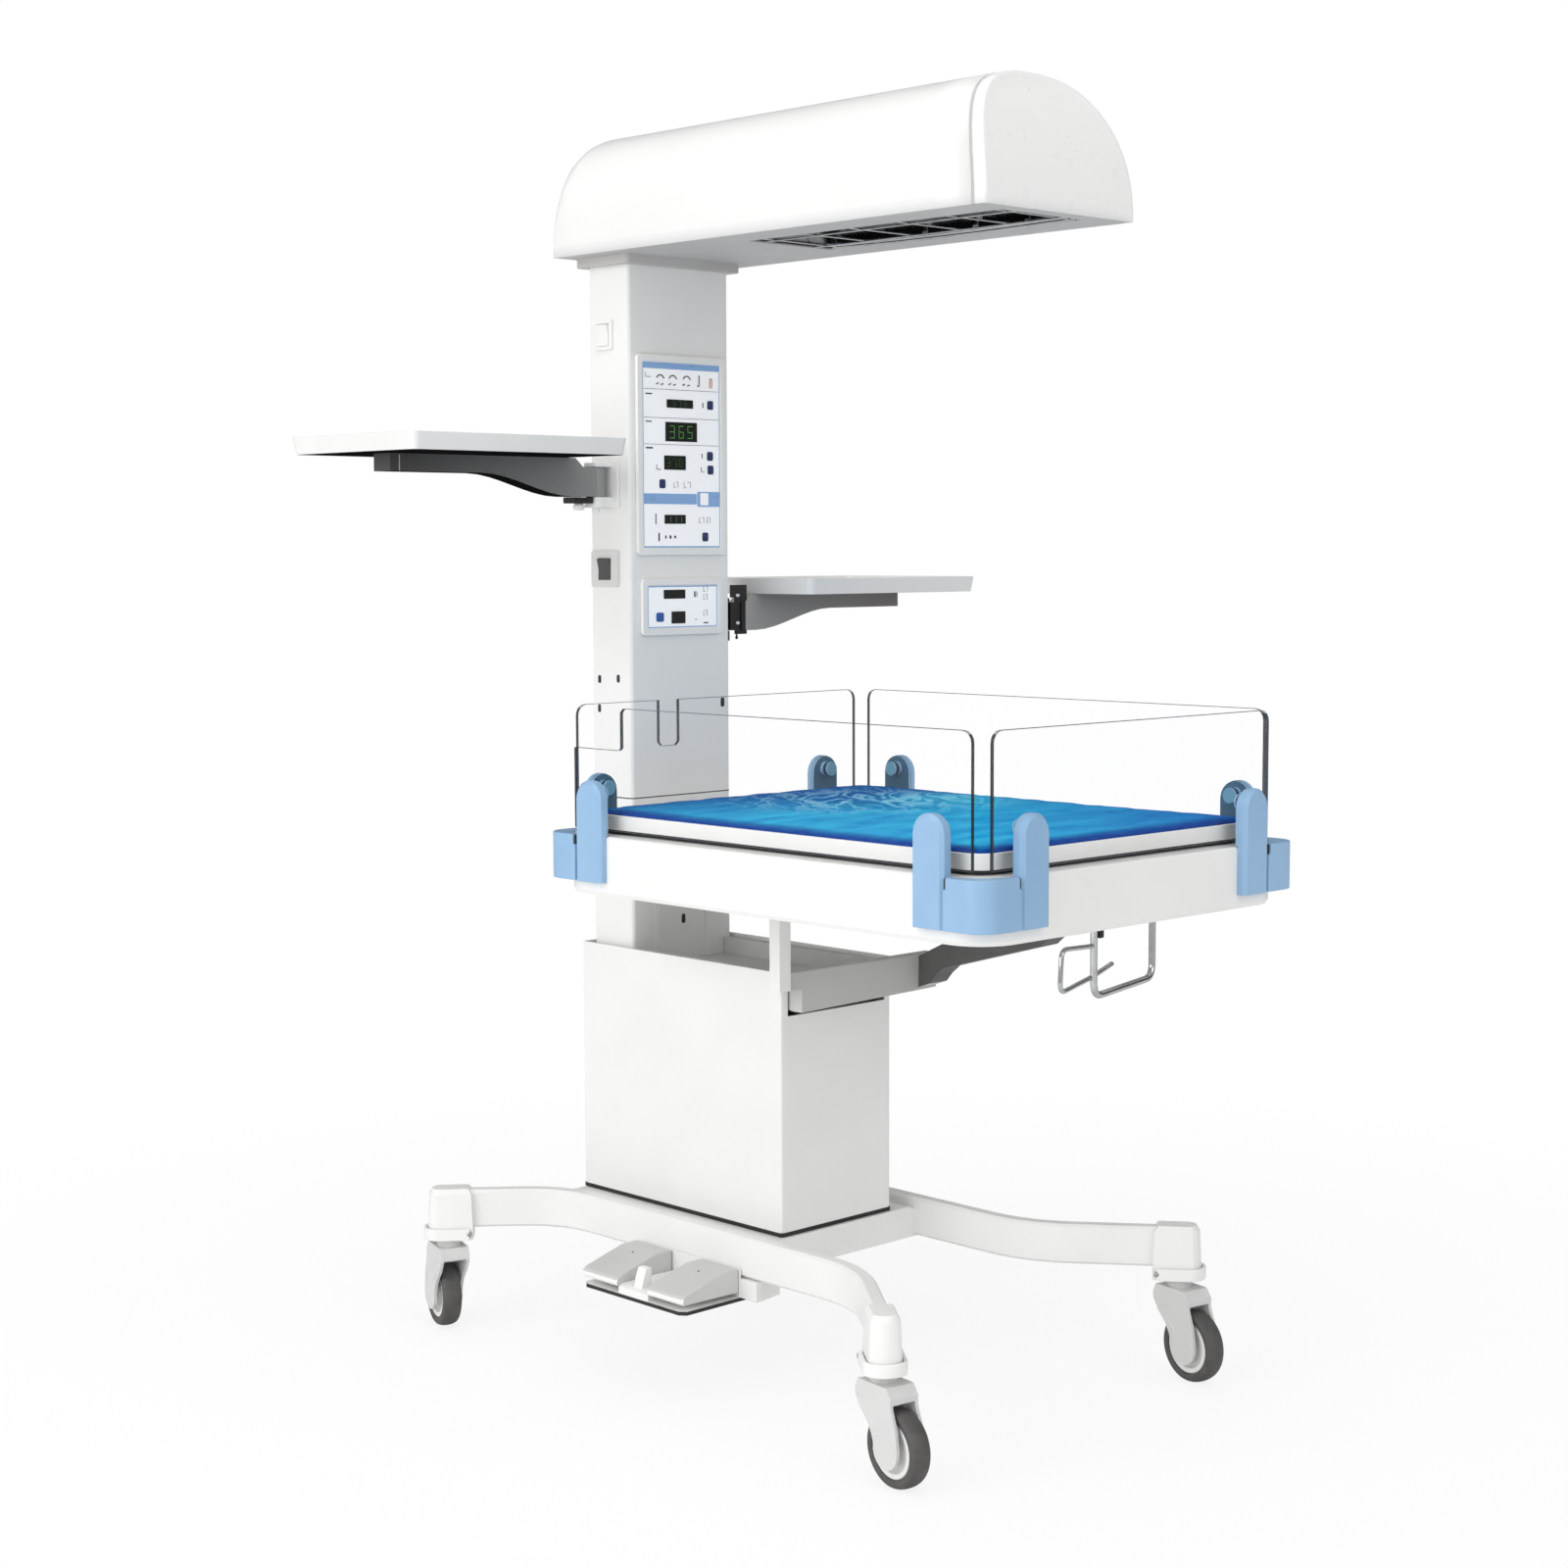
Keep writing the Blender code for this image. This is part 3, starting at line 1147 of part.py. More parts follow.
def panel_outline(half, notch):
    r = 0.016
    pts = [(-half, GUARD_BOTTOM), (half, GUARD_BOTTOM)]
    if notch == "corner":
        low = GUARD_TOP - NOTCH_DEPTH
        back = half - NOTCH_LENGTH
        pts += [
            (half, low), (back + 0.004, low), (back, low + 0.004), (back, GUARD_TOP - 0.006),
            (back - 0.006, GUARD_TOP),
        ]
    else:
        pts += [
            (half - r + r * math.cos(t), GUARD_TOP - r + r * math.sin(t))
            for t in (math.radians(22.5 * i) for i in range(5))
        ]
    if notch == "slot":
        low = GUARD_TOP - SLOT_DEPTH
        w = SLOT_WIDTH / 2
        pts += [
            (SLOT_X + w, GUARD_TOP), (SLOT_X + w, low + 0.006), (SLOT_X + w - 0.006, low),
            (SLOT_X - w + 0.006, low), (SLOT_X - w, low + 0.006), (SLOT_X - w, GUARD_TOP),
        ]
    pts += [
        (-half + r - r * math.sin(t), GUARD_TOP - r + r * math.cos(t))
        for t in (math.radians(22.5 * i) for i in range(5))
    ]
    return pts


def post_outline(mid, bottom, inset=0.0):
    r = POST_WIDTH / 2 - inset
    top = POST_TOP - POST_WIDTH / 2
    pts = [(mid - r, bottom), (mid + r, bottom)]
    pts += [
        (mid + r * math.cos(t), top + r * math.sin(t))
        for t in (math.pi * i / 10 for i in range(11))
    ]
    return pts


def pin(axis, mid, z, start, stop, radius, segments):
    """Round pin across a guard, along x or y."""
    bm = bmesh.new()
    if axis == "y":
        rod(bm, (mid, start, z), (mid, stop, z), radius, segments)
    else:
        rod(bm, (start, mid, z), (stop, mid, z), radius, segments)
    return bm


boss_z = POST_TOP - 0.021
for tag, axis, sign in (("front", "y", -1), ("rear", "y", 1), ("left", "x", -1), ("right", "x", 1)):
    if axis == "y":
        plane = BED_MID + sign * GUARD_HALF_Y
        side_face = BED_MID + sign * BED_HALF_Y
        half = GUARD_HALF_X - GUARD_END_GAP
        mids = (("l", -POST_MID_X), ("r", POST_MID_X))
        shift = 0.0
    else:
        plane = sign * GUARD_HALF_X
        side_face = sign * BED_HALF_X
        half = GUARD_HALF_Y - GUARD_END_GAP
        mids = (("f", BED_MID - POST_MID_Y), ("b", BED_MID + POST_MID_Y))
        shift = BED_MID
    notch = {"left": "corner", "rear": "slot"}.get(tag, "")
    bm = bmesh.new()
    prism(
        bm, [(a + shift, z) for a, z in panel_outline(half, notch)], axis, plane - half_t,
        plane + half_t,
    )
    panel = finish("guard_panel_" + tag, bm, CLEAR)
    outer = side_face + sign * POST_OUT
    inner = outer - sign * POST_DEPTH
    sheet_out = plane + sign * (half_t + GAP)
    sheet_in = plane - sign * (half_t + GAP)
    for end, mid in mids:
        name = "guard_post_" + tag + "_" + end
        bm = bmesh.new()
        loops = []
        for depth, inset in (
            (side_face + sign * GAP, 0.0), (outer - sign * POST_CHAMFER, 0.0), (outer, POST_CHAMFER),
        ):
            loops.append(
                add_loop(
                    bm, [place(axis, a, z, depth) for a, z in post_outline(mid, POST_BOTTOM, inset)]
                )
            )
        bridge(bm, loops[0], loops[1])
        bridge(bm, loops[1], loops[2])
        bm.faces.new(loops[0])
        bm.faces.new(loops[2])
        post = finish(name, bm, BLUE_PLASTIC)
        bm = bmesh.new()
        span = sorted((inner, side_face + sign * 0.004))
        prism(bm, post_outline(mid, BED_TOP + 0.0012, 0.0008), axis, span[0], span[1])
        pieces = [finish("back", bm, BLUE_PLASTIC)]
        tip = sheet_in - sign * BOSS_HEAD
        pieces.append(
            finish(
                "spacer", pin(axis, mid, boss_z, inner + sign * 0.002, sheet_out, BOSS_RADIUS, 16),
                BLUE_PLASTIC,
            )
        )
        pieces.append(
            finish(
                "bolt",
                pin(axis, mid, boss_z, inner + sign * 0.004, tip + sign * 0.001, BOLT_RADIUS, 12),
                BLUE_PLASTIC,
            )
        )
        pieces.append(
            finish(
                "head", pin(axis, mid, boss_z, sheet_in, tip, BOSS_RADIUS - 0.0002, 16), BLUE_PLASTIC,
            )
        )
        fuse(post, pieces)
        hole = pin(axis, mid, boss_z, plane - 0.01, plane + 0.01, BOLT_RADIUS + BOLT_CLEAR, 12)
        cut(panel, finish("hole", hole, CLEAR))

# Chrome wire holder under the foot end, hung from the chassis by its clamp
hang = BED_FRONT + WIRE_BACK
hang_top = BED_TOP - BED_WALL - GAP
low = BED_BOTTOM - WIRE_DROP
corners = [
    (WIRE_LEFT, hang, hang_top), (WIRE_LEFT, hang, low),
    (WIRE_RIGHT, hang + WIRE_SKEW, low + 0.006), (WIRE_RIGHT, hang + WIRE_SKEW, hang_top),
]
bm = bmesh.new()
tube(bm, round_path(corners, 0.020, 4), WIRE_RADIUS, 8)
holder = finish("wire_holder", bm, CHROME)
corners = [
    (WIRE_LEFT + 0.001, hang, BED_BOTTOM - LOOP_DROP),
    (WIRE_LEFT - LOOP_REACH + 0.004, hang - 0.004, BED_BOTTOM - LOOP_DROP + 0.003),
    (WIRE_LEFT - LOOP_REACH, hang - 0.004, low + LOOP_LOW),
    (WIRE_LEFT + 0.001, hang, low + LOOP_END),
]
bm = bmesh.new()
tube(bm, round_path(corners, 0.012, 3), WIRE_RADIUS * 0.8, 8)
loop = finish("loop", bm, CHROME)
bm = bmesh.new()
box(
    bm, WIRE_LEFT - 0.001, WIRE_LEFT + CLAMP_WIDTH, hang - CLAMP_DEPTH / 2, hang + CLAMP_DEPTH / 2,
    BED_BOTTOM - CLAMP_DROP, hang_top - 0.0001, 0.003, "z", 2,
)
fuse(holder, [loop, finish("clamp", bm, CHROME)])

# Foot switch: housing on a bracket under the leg, two sprung pedals
PEDAL_Z = LEG_BOTTOM - PEDAL_DROP
PEDAL_BACK = -LEG_X - PEDAL_X


def pedal_block(name, v0, v1, side_profile, mat):
    bm = bmesh.new()
    prism(
        bm, [(PEDAL_BACK - u, PEDAL_Z + z) for u, z in side_profile], "y", PEDAL_MID + v0,
        PEDAL_MID + v1,
    )
    return finish(name, bm, mat)


rib = PEDAL_RIB / 2
inner_edge = rib + PEDAL_WALL
wide = inner_edge + PEDAL_WIDTH
back = -0.0085
nose = PEDAL_LENGTH + back
bm = bmesh.new()
plan = [
    (-0.030, -wide), (nose - 0.009, -wide), (nose - 0.001, -wide + 0.010), (nose - 0.001, wide - 0.010),
    (nose - 0.009, wide), (-0.030, wide),
]
prism(bm, [(PEDAL_BACK - u, PEDAL_MID + v) for u, v in plan], "z", PEDAL_Z - PEDAL_PLATE, PEDAL_Z)
housing = finish("pedal_housing", bm, WHITE_PLASTIC)
hanger_top = PEDAL_DROP - 0.001 - GAP
deck_side = [
    (-0.012, -0.002), (nose - 0.004, -0.002), (nose - 0.004, 0.009), (nose - 0.012, 0.013),
    (-0.012, 0.013),
]
tab_side = [
    (nose - 0.030, 0.010), (nose - 0.010, 0.010), (nose - 0.014, 0.026), (nose - 0.020, 0.041),
    (nose - 0.030, 0.041),
]
back_side = [
    (-0.0148, -0.002), (-0.0103, -0.002), (-0.0103, PEDAL_RISE - 0.002), (-0.0148, PEDAL_RISE - 0.002),
]
hanger_side = [
    (-0.060, 0.002), (-0.028, -0.001), (-0.012, -0.001), (-0.012, hanger_top), (-0.060, hanger_top),
]
fuse(
    housing,
    [
        pedal_block("deck", -rib, rib, deck_side, WHITE_PLASTIC),
        pedal_block("tab", -0.012, 0.006, tab_side, WHITE_PLASTIC),
        pedal_block("back", -wide + 0.001, wide - 0.001, back_side, WHITE_PLASTIC),
        pedal_block("hanger", -wide - 0.034, wide + 0.034, hanger_side, WHITE_PLASTIC),
    ],
)
pedal_side = [
    (back, PEDAL_PLAY), (nose - 0.003, PEDAL_PLAY + 0.0015), (nose, PEDAL_PLAY + 0.005),
    (nose - 0.002, PEDAL_RISE - 0.024), (nose - 0.008, PEDAL_RISE - 0.020), (0.022, PEDAL_RISE),
    (back, PEDAL_RISE),
]
for name, v0, v1 in (("pedal_up", inner_edge, wide), ("pedal_down", -wide, -inner_edge)):
    pedal_block(name, v0, v1, pedal_side, LIGHT_GREY)
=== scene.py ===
import json
import math

import bmesh
import bpy
import numpy as np
from mathutils import Matrix, Vector

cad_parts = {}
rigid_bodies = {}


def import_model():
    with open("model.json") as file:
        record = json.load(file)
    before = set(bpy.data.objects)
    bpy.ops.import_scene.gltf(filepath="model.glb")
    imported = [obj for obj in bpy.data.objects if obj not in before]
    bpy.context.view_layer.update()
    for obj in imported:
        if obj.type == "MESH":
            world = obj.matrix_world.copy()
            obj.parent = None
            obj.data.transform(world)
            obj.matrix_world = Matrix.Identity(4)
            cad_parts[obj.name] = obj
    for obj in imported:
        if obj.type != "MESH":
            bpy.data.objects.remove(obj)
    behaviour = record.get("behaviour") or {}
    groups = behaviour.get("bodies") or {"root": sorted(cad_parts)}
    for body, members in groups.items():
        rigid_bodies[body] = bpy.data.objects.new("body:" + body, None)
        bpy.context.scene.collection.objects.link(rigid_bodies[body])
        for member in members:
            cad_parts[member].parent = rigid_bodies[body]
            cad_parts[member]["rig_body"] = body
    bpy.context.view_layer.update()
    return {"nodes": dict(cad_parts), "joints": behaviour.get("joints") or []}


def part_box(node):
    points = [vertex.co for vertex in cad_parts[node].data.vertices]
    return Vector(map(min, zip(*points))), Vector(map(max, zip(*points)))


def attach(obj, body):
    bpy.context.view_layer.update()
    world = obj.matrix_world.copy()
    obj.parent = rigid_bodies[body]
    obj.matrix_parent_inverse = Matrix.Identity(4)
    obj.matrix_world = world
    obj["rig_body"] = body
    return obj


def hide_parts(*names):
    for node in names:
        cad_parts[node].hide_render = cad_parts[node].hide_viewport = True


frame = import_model()

# Studio: the camera stands where the photograph was taken, on a white floor that keeps a soft shadow.
# Large soft lights on the left, in front and above, and an even white room do the lighting.
# What shines mirrors a room that darkens to the right and behind, so edges and chrome keep their contrast.
HEADING = -43.983
PITCH = -5.1187
ROLL = -0.202
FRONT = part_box("column_lower")[0].y
scene = bpy.context.scene
scene.view_settings.view_transform = "Standard"
lens = bpy.data.cameras.new("camera")
lens.lens = 60.19
lens.sensor_width = 36.0
lens.clip_end = 100.0
camera = bpy.data.objects.new("camera", lens)
stand = Matrix.Translation((-2.76072, FRONT - 3.09336, 1.23184))
aim = Matrix.Rotation(math.radians(HEADING), 4, "Z") @ Matrix.Rotation(math.radians(90 + PITCH), 4, "X")
camera.matrix_world = stand @ aim @ Matrix.Rotation(math.radians(ROLL), 4, "Z")
scene.collection.objects.link(camera)
scene.camera = camera


def srgb(code, alpha=1.0):
    """An sRGB hex colour as the linear values that a shader takes."""
    parts = [int(code[i:i + 2], 16) / 255 for i in (1, 3, 5)]
    return tuple(c / 12.92 if c <= 0.04045 else ((c + 0.055) / 1.055) ** 2.4 for c in parts) + (alpha,)


def add_node(tree, kind, inputs=None, **settings):
    """Adds a node, sets its properties, and fills its inputs with values or links."""
    node = tree.nodes.new(kind)
    for key, value in settings.items():
        setattr(node, key, value)
    for key, value in (inputs or {}).items():
        if isinstance(value, bpy.types.NodeSocket):
            tree.links.new(value, node.inputs[key])
        else:
            node.inputs[key].default_value = value
    return node


def seen_directly(tree):
    """The ray's path, and 1 for what the lens sees, also through clear plastic, or 0 for other light."""
    path = add_node(tree, "ShaderNodeLightPath").outputs
    seen = add_node(
        tree, "ShaderNodeMath", {0: path["Is Camera Ray"], 1: path["Is Transmission Ray"]},
        operation="MAXIMUM",
    )
    return path, seen.outputs[0]


# White room: plain white to the lens, weaker as a light, and graded from bright to dark in reflections.
room = bpy.data.worlds.new("white_room")
scene.world = room
room.use_nodes = True
tree = room.node_tree
tree.nodes.clear()
path, seen = seen_directly(tree)
way = add_node(tree, "ShaderNodeTexCoord").outputs["Generated"]
behind = add_node(tree, "ShaderNodeVectorMath", {0: way, 1: (0.90, 0.43, 0.0)}, operation="DOT_PRODUCT")
mirrored = add_node(
    tree, "ShaderNodeMapRange", {0: behind.outputs["Value"], 1: -0.4, 2: 0.5, 3: 0.80, 4: 0.12},
)
level = add_node(tree, "ShaderNodeMix", {0: path["Is Glossy Ray"], 2: 0.62, 3: mirrored.outputs[0]})
light = add_node(tree, "ShaderNodeBackground", {"Color": srgb("#FFFFFF"), "Strength": level.outputs[0]})
white = add_node(tree, "ShaderNodeBackground", {"Color": srgb("#FFFFFF"), "Strength": 1.0})
mixed = add_node(tree, "ShaderNodeMixShader", {0: seen, 1: light.outputs[0], 2: white.outputs[0]})
add_node(tree, "ShaderNodeOutputWorld", {"Surface": mixed.outputs[0]})

# Studio paper: matt white that keeps a soft shadow near the casters and fades to plain white further off.
paper = bpy.data.materials.new("studio_paper")
paper.use_nodes = True
tree = paper.node_tree
tree.nodes.clear()
path, seen = seen_directly(tree)
matt = add_node(tree, "ShaderNodeBsdfDiffuse", {"Color": srgb("#F4F4F4")})
glow = add_node(tree, "ShaderNodeEmission", {"Color": srgb("#FFFFFF"), "Strength": 1.0})
spot = add_node(tree, "ShaderNodeNewGeometry").outputs["Position"]
away = add_node(tree, "ShaderNodeVectorMath", {0: spot}, operation="LENGTH").outputs["Value"]
fade = add_node(tree, "ShaderNodeMapRange", {0: away, 1: 0.7, 2: 2.2, 3: 0.84, 4: 1.0}).outputs[0]
share = add_node(tree, "ShaderNodeMath", {0: seen, 1: fade}, operation="MULTIPLY")
both = add_node(
    tree, "ShaderNodeMixShader", {0: share.outputs[0], 1: matt.outputs[0], 2: glow.outputs[0]},
)
add_node(tree, "ShaderNodeOutputMaterial", {"Surface": both.outputs[0]})
FLOOR_HALF = 40.0
sheet = bpy.data.meshes.new("studio_floor")
corners = [(x * FLOOR_HALF, y * FLOOR_HALF, 0) for x, y in ((-1, -1), (1, -1), (1, 1), (-1, 1))]
sheet.from_pydata(corners, [], [(0, 1, 2, 3)])
sheet.materials.append(paper)
floor = bpy.data.objects.new("studio_floor", sheet)
scene.collection.objects.link(floor)

for name, place, target, size, power in (
    ("left_softbox", (-4.2, 0.2, 2.1), (0, 0, 0.9), 3.2, 90.0),
    ("front_softbox", (-0.6, -4.6, 2.6), (0, 0, 0.9), 3.0, 42.0),
    ("top_softbox", (-0.6, -0.4, 4.4), (0, 0, 0.8), 3.0, 42.0),
):
    lamp = bpy.data.lights.new(name, "AREA")
    lamp.shape = "SQUARE"
    lamp.size = size
    lamp.energy = power
    holder = bpy.data.objects.new(name, lamp)
    holder.location = place
    holder.rotation_euler = (Vector(target) - Vector(place)).to_track_quat("-Z", "Y").to_euler()
    scene.collection.objects.link(holder)

# Base frame: two bowed steel bars welded to a folded centre box, with sockets for the casters.
# It is powder coated white after welding, so the joints are covered and all edges are soft.


def surface(name, first, second, patch_mm, rough, sheen_mm=None, grain=None, constants=None):
    """A material of two close colours in soft patches.

    rough is one roughness, or a lowest and a highest one where sheen_mm gives the size of its patches.
    grain is the size in mm, the strength and the depth in mm of a fine relief.
    constants are values of the shader's own sockets.
    """
    material = bpy.data.materials.new(name)
    material.use_nodes = True
    tree = material.node_tree
    shader = tree.nodes["Principled BSDF"]
    for socket, value in (constants or {}).items():
        shader.inputs[socket].default_value = value
    place = add_node(tree, "ShaderNodeTexCoord").outputs["Object"]
    patches = add_node(
        tree, "ShaderNodeTexNoise", {"Vector": place, "Scale": 1000.0 / patch_mm, "Detail": 3.0},
    )
    ramp = add_node(tree, "ShaderNodeValToRGB", {0: patches.outputs[0]})
    for stop, position, colour in zip(ramp.color_ramp.elements, (0.32, 0.68), (first, second)):
        stop.position = position
        stop.color = srgb(colour)
    tree.links.new(ramp.outputs[0], shader.inputs["Base Color"])
    if sheen_mm:
        sheen = add_node(
            tree, "ShaderNodeTexNoise", {"Vector": place, "Scale": 1000.0 / sheen_mm, "Detail": 3.0},
        )
        level = add_node(
            tree, "ShaderNodeMapRange", {0: sheen.outputs[0], 1: 0.3, 2: 0.7, 3: rough[0], 4: rough[1]},
        )
        tree.links.new(level.outputs[0], shader.inputs["Roughness"])
    else:
        shader.inputs["Roughness"].default_value = rough
    if grain:
        size_mm, strength, depth_mm = grain
        height = add_node(
            tree, "ShaderNodeTexNoise", {"Vector": place, "Scale": 1000.0 / size_mm, "Detail": 2.0},
        )
        bump = add_node(
            tree, "ShaderNodeBump",
            {"Height": height.outputs[0], "Strength": strength, "Distance": depth_mm / 1000},
        )
        tree.links.new(bump.outputs[0], shader.inputs["Normal"])
    return material


def coated(name, first, second, rough, peel_mm=2.2, peel=0.10, vary=0.05, constants=None):
    """Powder coat, paint or moulded plastic: uneven sheen in broad patches, and a fine skin texture."""
    grain = (peel_mm, peel, 0.12) if peel else None
    return surface(name, first, second, 140.0, (rough - vary, rough + vary), 35.0, grain, constants)


def object_of(bm, name, material):
    """Turns a bmesh into an object of one or more materials, with even normals on its flat faces."""
    mesh = bpy.data.meshes.new(name)
    bm.to_mesh(mesh)
    bm.free()
    for one in material if isinstance(material, list) else [material]:
        mesh.materials.append(one)
    piece = bpy.data.objects.new(name, mesh)
    scene.collection.objects.link(piece)
    even = piece.modifiers.new("even", "WEIGHTED_NORMAL")
    even.weight = 100
    even.keep_sharp = True
    return piece


def skin(node, name, material, width=0.0012, segments=2, angle=30.0, choose=None, shape=None):
    """A piece in a CAD node's place: the same solid with its edges rounded as the real piece's are.

    choose gives the number of a face's material, and shape moves points before the rounding.
    """
    source = frame["nodes"][node]
    bm = bmesh.new()
    bm.from_mesh(source.data)
    bmesh.ops.remove_doubles(bm, verts=bm.verts, dist=2e-5)
    bmesh.ops.dissolve_limit(bm, angle_limit=math.radians(0.6), verts=bm.verts, edges=bm.edges)
    if shape:
        shape(bm)
    if width:
        limit = math.radians(angle)
        sharp = [e for e in bm.edges if len(e.link_faces) == 2 and e.calc_face_angle() > limit]
        bmesh.ops.bevel(
            bm, geom=sharp, offset=width, segments=segments, profile=0.5, affect="EDGES",
            clamp_overlap=True,
        )
    bm.normal_update()
    for face in bm.faces:
        face.smooth = True
        if choose:
            face.material_index = choose(face)
    piece = object_of(bm, name, material)
    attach(piece, source["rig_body"])
    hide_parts(node)


# White powder coat: a soft gloss, broken by a very fine orange peel and a slightly uneven sheen.
white_coat = coated("white_powder_coat", "#E9E9E7", "#EDEDEB", 0.36)
skin("base_frame", "coated_base_frame", white_coat, 0.0022, 3, 20.0)

# Brake stirrups: white moulded bands clasped round the lower rim of each leg end.
# Each is pressed down by foot and turns on a steel pin, whose two domed caps show at its sides.
ENDS = ("fl", "fr", "rl", "rr")
joints = {joint["name"]: joint for joint in frame["joints"]}


def facing(spot, way):
    """The place of a turned piece that stands on a spot with its axis along a direction."""
    return Matrix.Translation(spot) @ way.to_track_quat("Z", "Y").to_matrix().to_4x4()


def turned_rows(bm, outline, steps, place):
    """Copies of a (radius, height) outline at even steps about Z, as rows of points."""
    rows = []
    for i in range(steps):
        a = 2 * math.pi * i / steps
        spots = [place @ Vector((r * math.cos(a), r * math.sin(a), h)) for r, h in outline]
        rows.append([bm.verts.new(spot) for spot in spots])
    return rows


def turn_solid(bm, outline, steps, place):
    """Turns an open outline that begins and ends on the axis into a solid."""
    first = bm.verts.new(place @ Vector((0, 0, outline[0][1])))
    last = bm.verts.new(place @ Vector((0, 0, outline[-1][1])))
    rows = turned_rows(bm, outline[1:-1], steps, place)
    for here, there in zip(rows, rows[1:] + rows[:1]):
        bm.faces.new((first, here[0], there[0]))
        for k in range(len(here) - 1):
            bm.faces.new((here[k], here[k + 1], there[k + 1], there[k]))
        bm.faces.new((here[-1], last, there[-1]))


def finished(name, bm, material, body, smooth=True):
    """Turns a bmesh into a piece of the given material that rides on a body."""
    bmesh.ops.recalc_face_normals(bm, faces=bm.faces)
    for face in bm.faces:
        face.smooth = smooth
    piece = object_of(bm, name, material)
    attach(piece, body)
    return piece


# White ABS: moulded, a little glossier and finer in grain than the powder coat.
white_abs = coated("white_abs", "#EAEAE8", "#EEEEEC", 0.34, 1.6, 0.06)
# Zinc-plated steel: dull silver with soft highlights.
steel_pin = coated(
    "zinc_plated_steel", "#9A9A98", "#B2B2B0", 0.30, 0.8, 0.05, constants={"Metallic": 1.0},
)
CAP = [(0.0, -0.0020), (0.0038, -0.0020), (0.0038, 0.0016), (0.0030, 0.0024), (0.0, 0.0026)]
CAP_OUT = 0.0285
CAP_UP = 0.0090
for end in ENDS:
    skin("brake_stirrup_" + end, "moulded_stirrup_" + end, white_abs)
    pin = joints["brake_%s_press" % end]
    across = Vector(pin["axis"]).normalized()
    bm = bmesh.new()
    for out in (-across, across):
        spot = Vector(pin["pos_m"]) + out * CAP_OUT + Vector((0, 0, CAP_UP))
        turn_solid(bm, CAP, 28, facing(spot, out))
    finished("stirrup_pivot_caps_" + end, bm, steel_pin, "brake_" + end)

# Casters: a die-cast fork in light grey paint, a white nylon hub and a dark grey moulded tyre.
# The fork arms curve back from the swivel to the axle and carry raised ribs on the outside.
# The hub is pressed on the axle and the tyre is moulded round its rim.


def turn_ring(bm, outline, steps, place):
    """Turns a closed (radius, height) outline about Z into a ring."""
    rows = turned_rows(bm, outline, steps, place)
    for here, there in zip(rows, rows[1:] + rows[:1]):
        for k in range(len(outline)):
            m = (k + 1) % len(outline)
            bm.faces.new((here[k], here[m], there[m], there[k]))


def rounded(points, radius, steps=8):
    """A path of corners turned to a path of arcs."""
    corners = [Vector(p) for p in points]
    path = [corners[0]]
    for before, here, after in zip(corners, corners[1:], corners[2:]):
        a = (before - here).normalized()
        b = (after - here).normalized()
        reach = min(
            radius / math.tan(a.angle(b) / 2), 0.48 * (before - here).length,
            0.48 * (after - here).length,
        )
        first = here + a * reach
        last = here + b * reach
        for i in range(steps + 1):
            t = i / steps
            path.append(first * (1 - t) ** 2 + here * 2 * t * (1 - t) + last * t * t)
    path.append(corners[-1])
    return path


def node_group(name, inputs, output):
    """An empty Geometry Nodes tree with named inputs of the given kinds, and its input sockets."""
    tree = bpy.data.node_groups.new(name, "GeometryNodeTree")
    for label, kind in inputs.items():
        tree.interface.new_socket(label, in_out="INPUT", socket_type="NodeSocket" + kind)
    tree.interface.new_socket(output, in_out="OUTPUT", socket_type="NodeSocketGeometry")
    return tree, add_node(tree, "NodeGroupInput").outputs


def close_group(tree, geometry, finish, output):
    """Ends a tree with real geometry of one material."""
    real = add_node(tree, "GeometryNodeRealizeInstances", {"Geometry": geometry})
    done = add_node(tree, "GeometryNodeSetMaterial", {"Geometry": real.outputs[0], "Material": finish})
    add_node(tree, "NodeGroupOutput", {output: done.outputs[0]})


def grown(name, points, edges, tree, settings):
    """Runs a tree on points and edges with its named inputs set, and keeps the result as a plain mesh."""
    mesh = bpy.data.meshes.new(name)
    mesh.from_pydata([tuple(p) for p in points], edges, [])
    piece = bpy.data.objects.new(name, mesh)
    scene.collection.objects.link(piece)
    step = piece.modifiers.new("nodes", "NODES")
    step.node_group = tree
    for item in tree.interface.items_tree:
        if item.in_out == "INPUT" and item.name in settings:
            step[item.identifier] = settings[item.name]
    graph = bpy.context.evaluated_depsgraph_get()
    plain = bpy.data.meshes.new_from_object(piece.evaluated_get(graph))
    piece.modifiers.clear()
    piece.data = plain
    plain.name = name
    return piece


# Round bar tree: sweeps a circle of a set radius along the edges that it is given.
bar_tree, given = node_group(
    "round_bar_along_path",
    {"Path": "Geometry", "Radius": "Float", "Sides": "Int", "Finish": "Material"}, "Bar",
)
curve = add_node(bar_tree, "GeometryNodeMeshToCurve", {"Mesh": given["Path"]})
circle = add_node(
    bar_tree, "GeometryNodeCurvePrimitiveCircle",
    {"Resolution": given["Sides"], "Radius": given["Radius"]},
)
bar = add_node(
    bar_tree, "GeometryNodeCurveToMesh",
    {"Curve": curve.outputs[0], "Profile Curve": circle.outputs[0], "Fill Caps": True},
)
soft = add_node(bar_tree, "GeometryNodeSetShadeSmooth", {"Geometry": bar.outputs[0]})
close_group(bar_tree, soft.outputs[0], given["Finish"], "Bar")


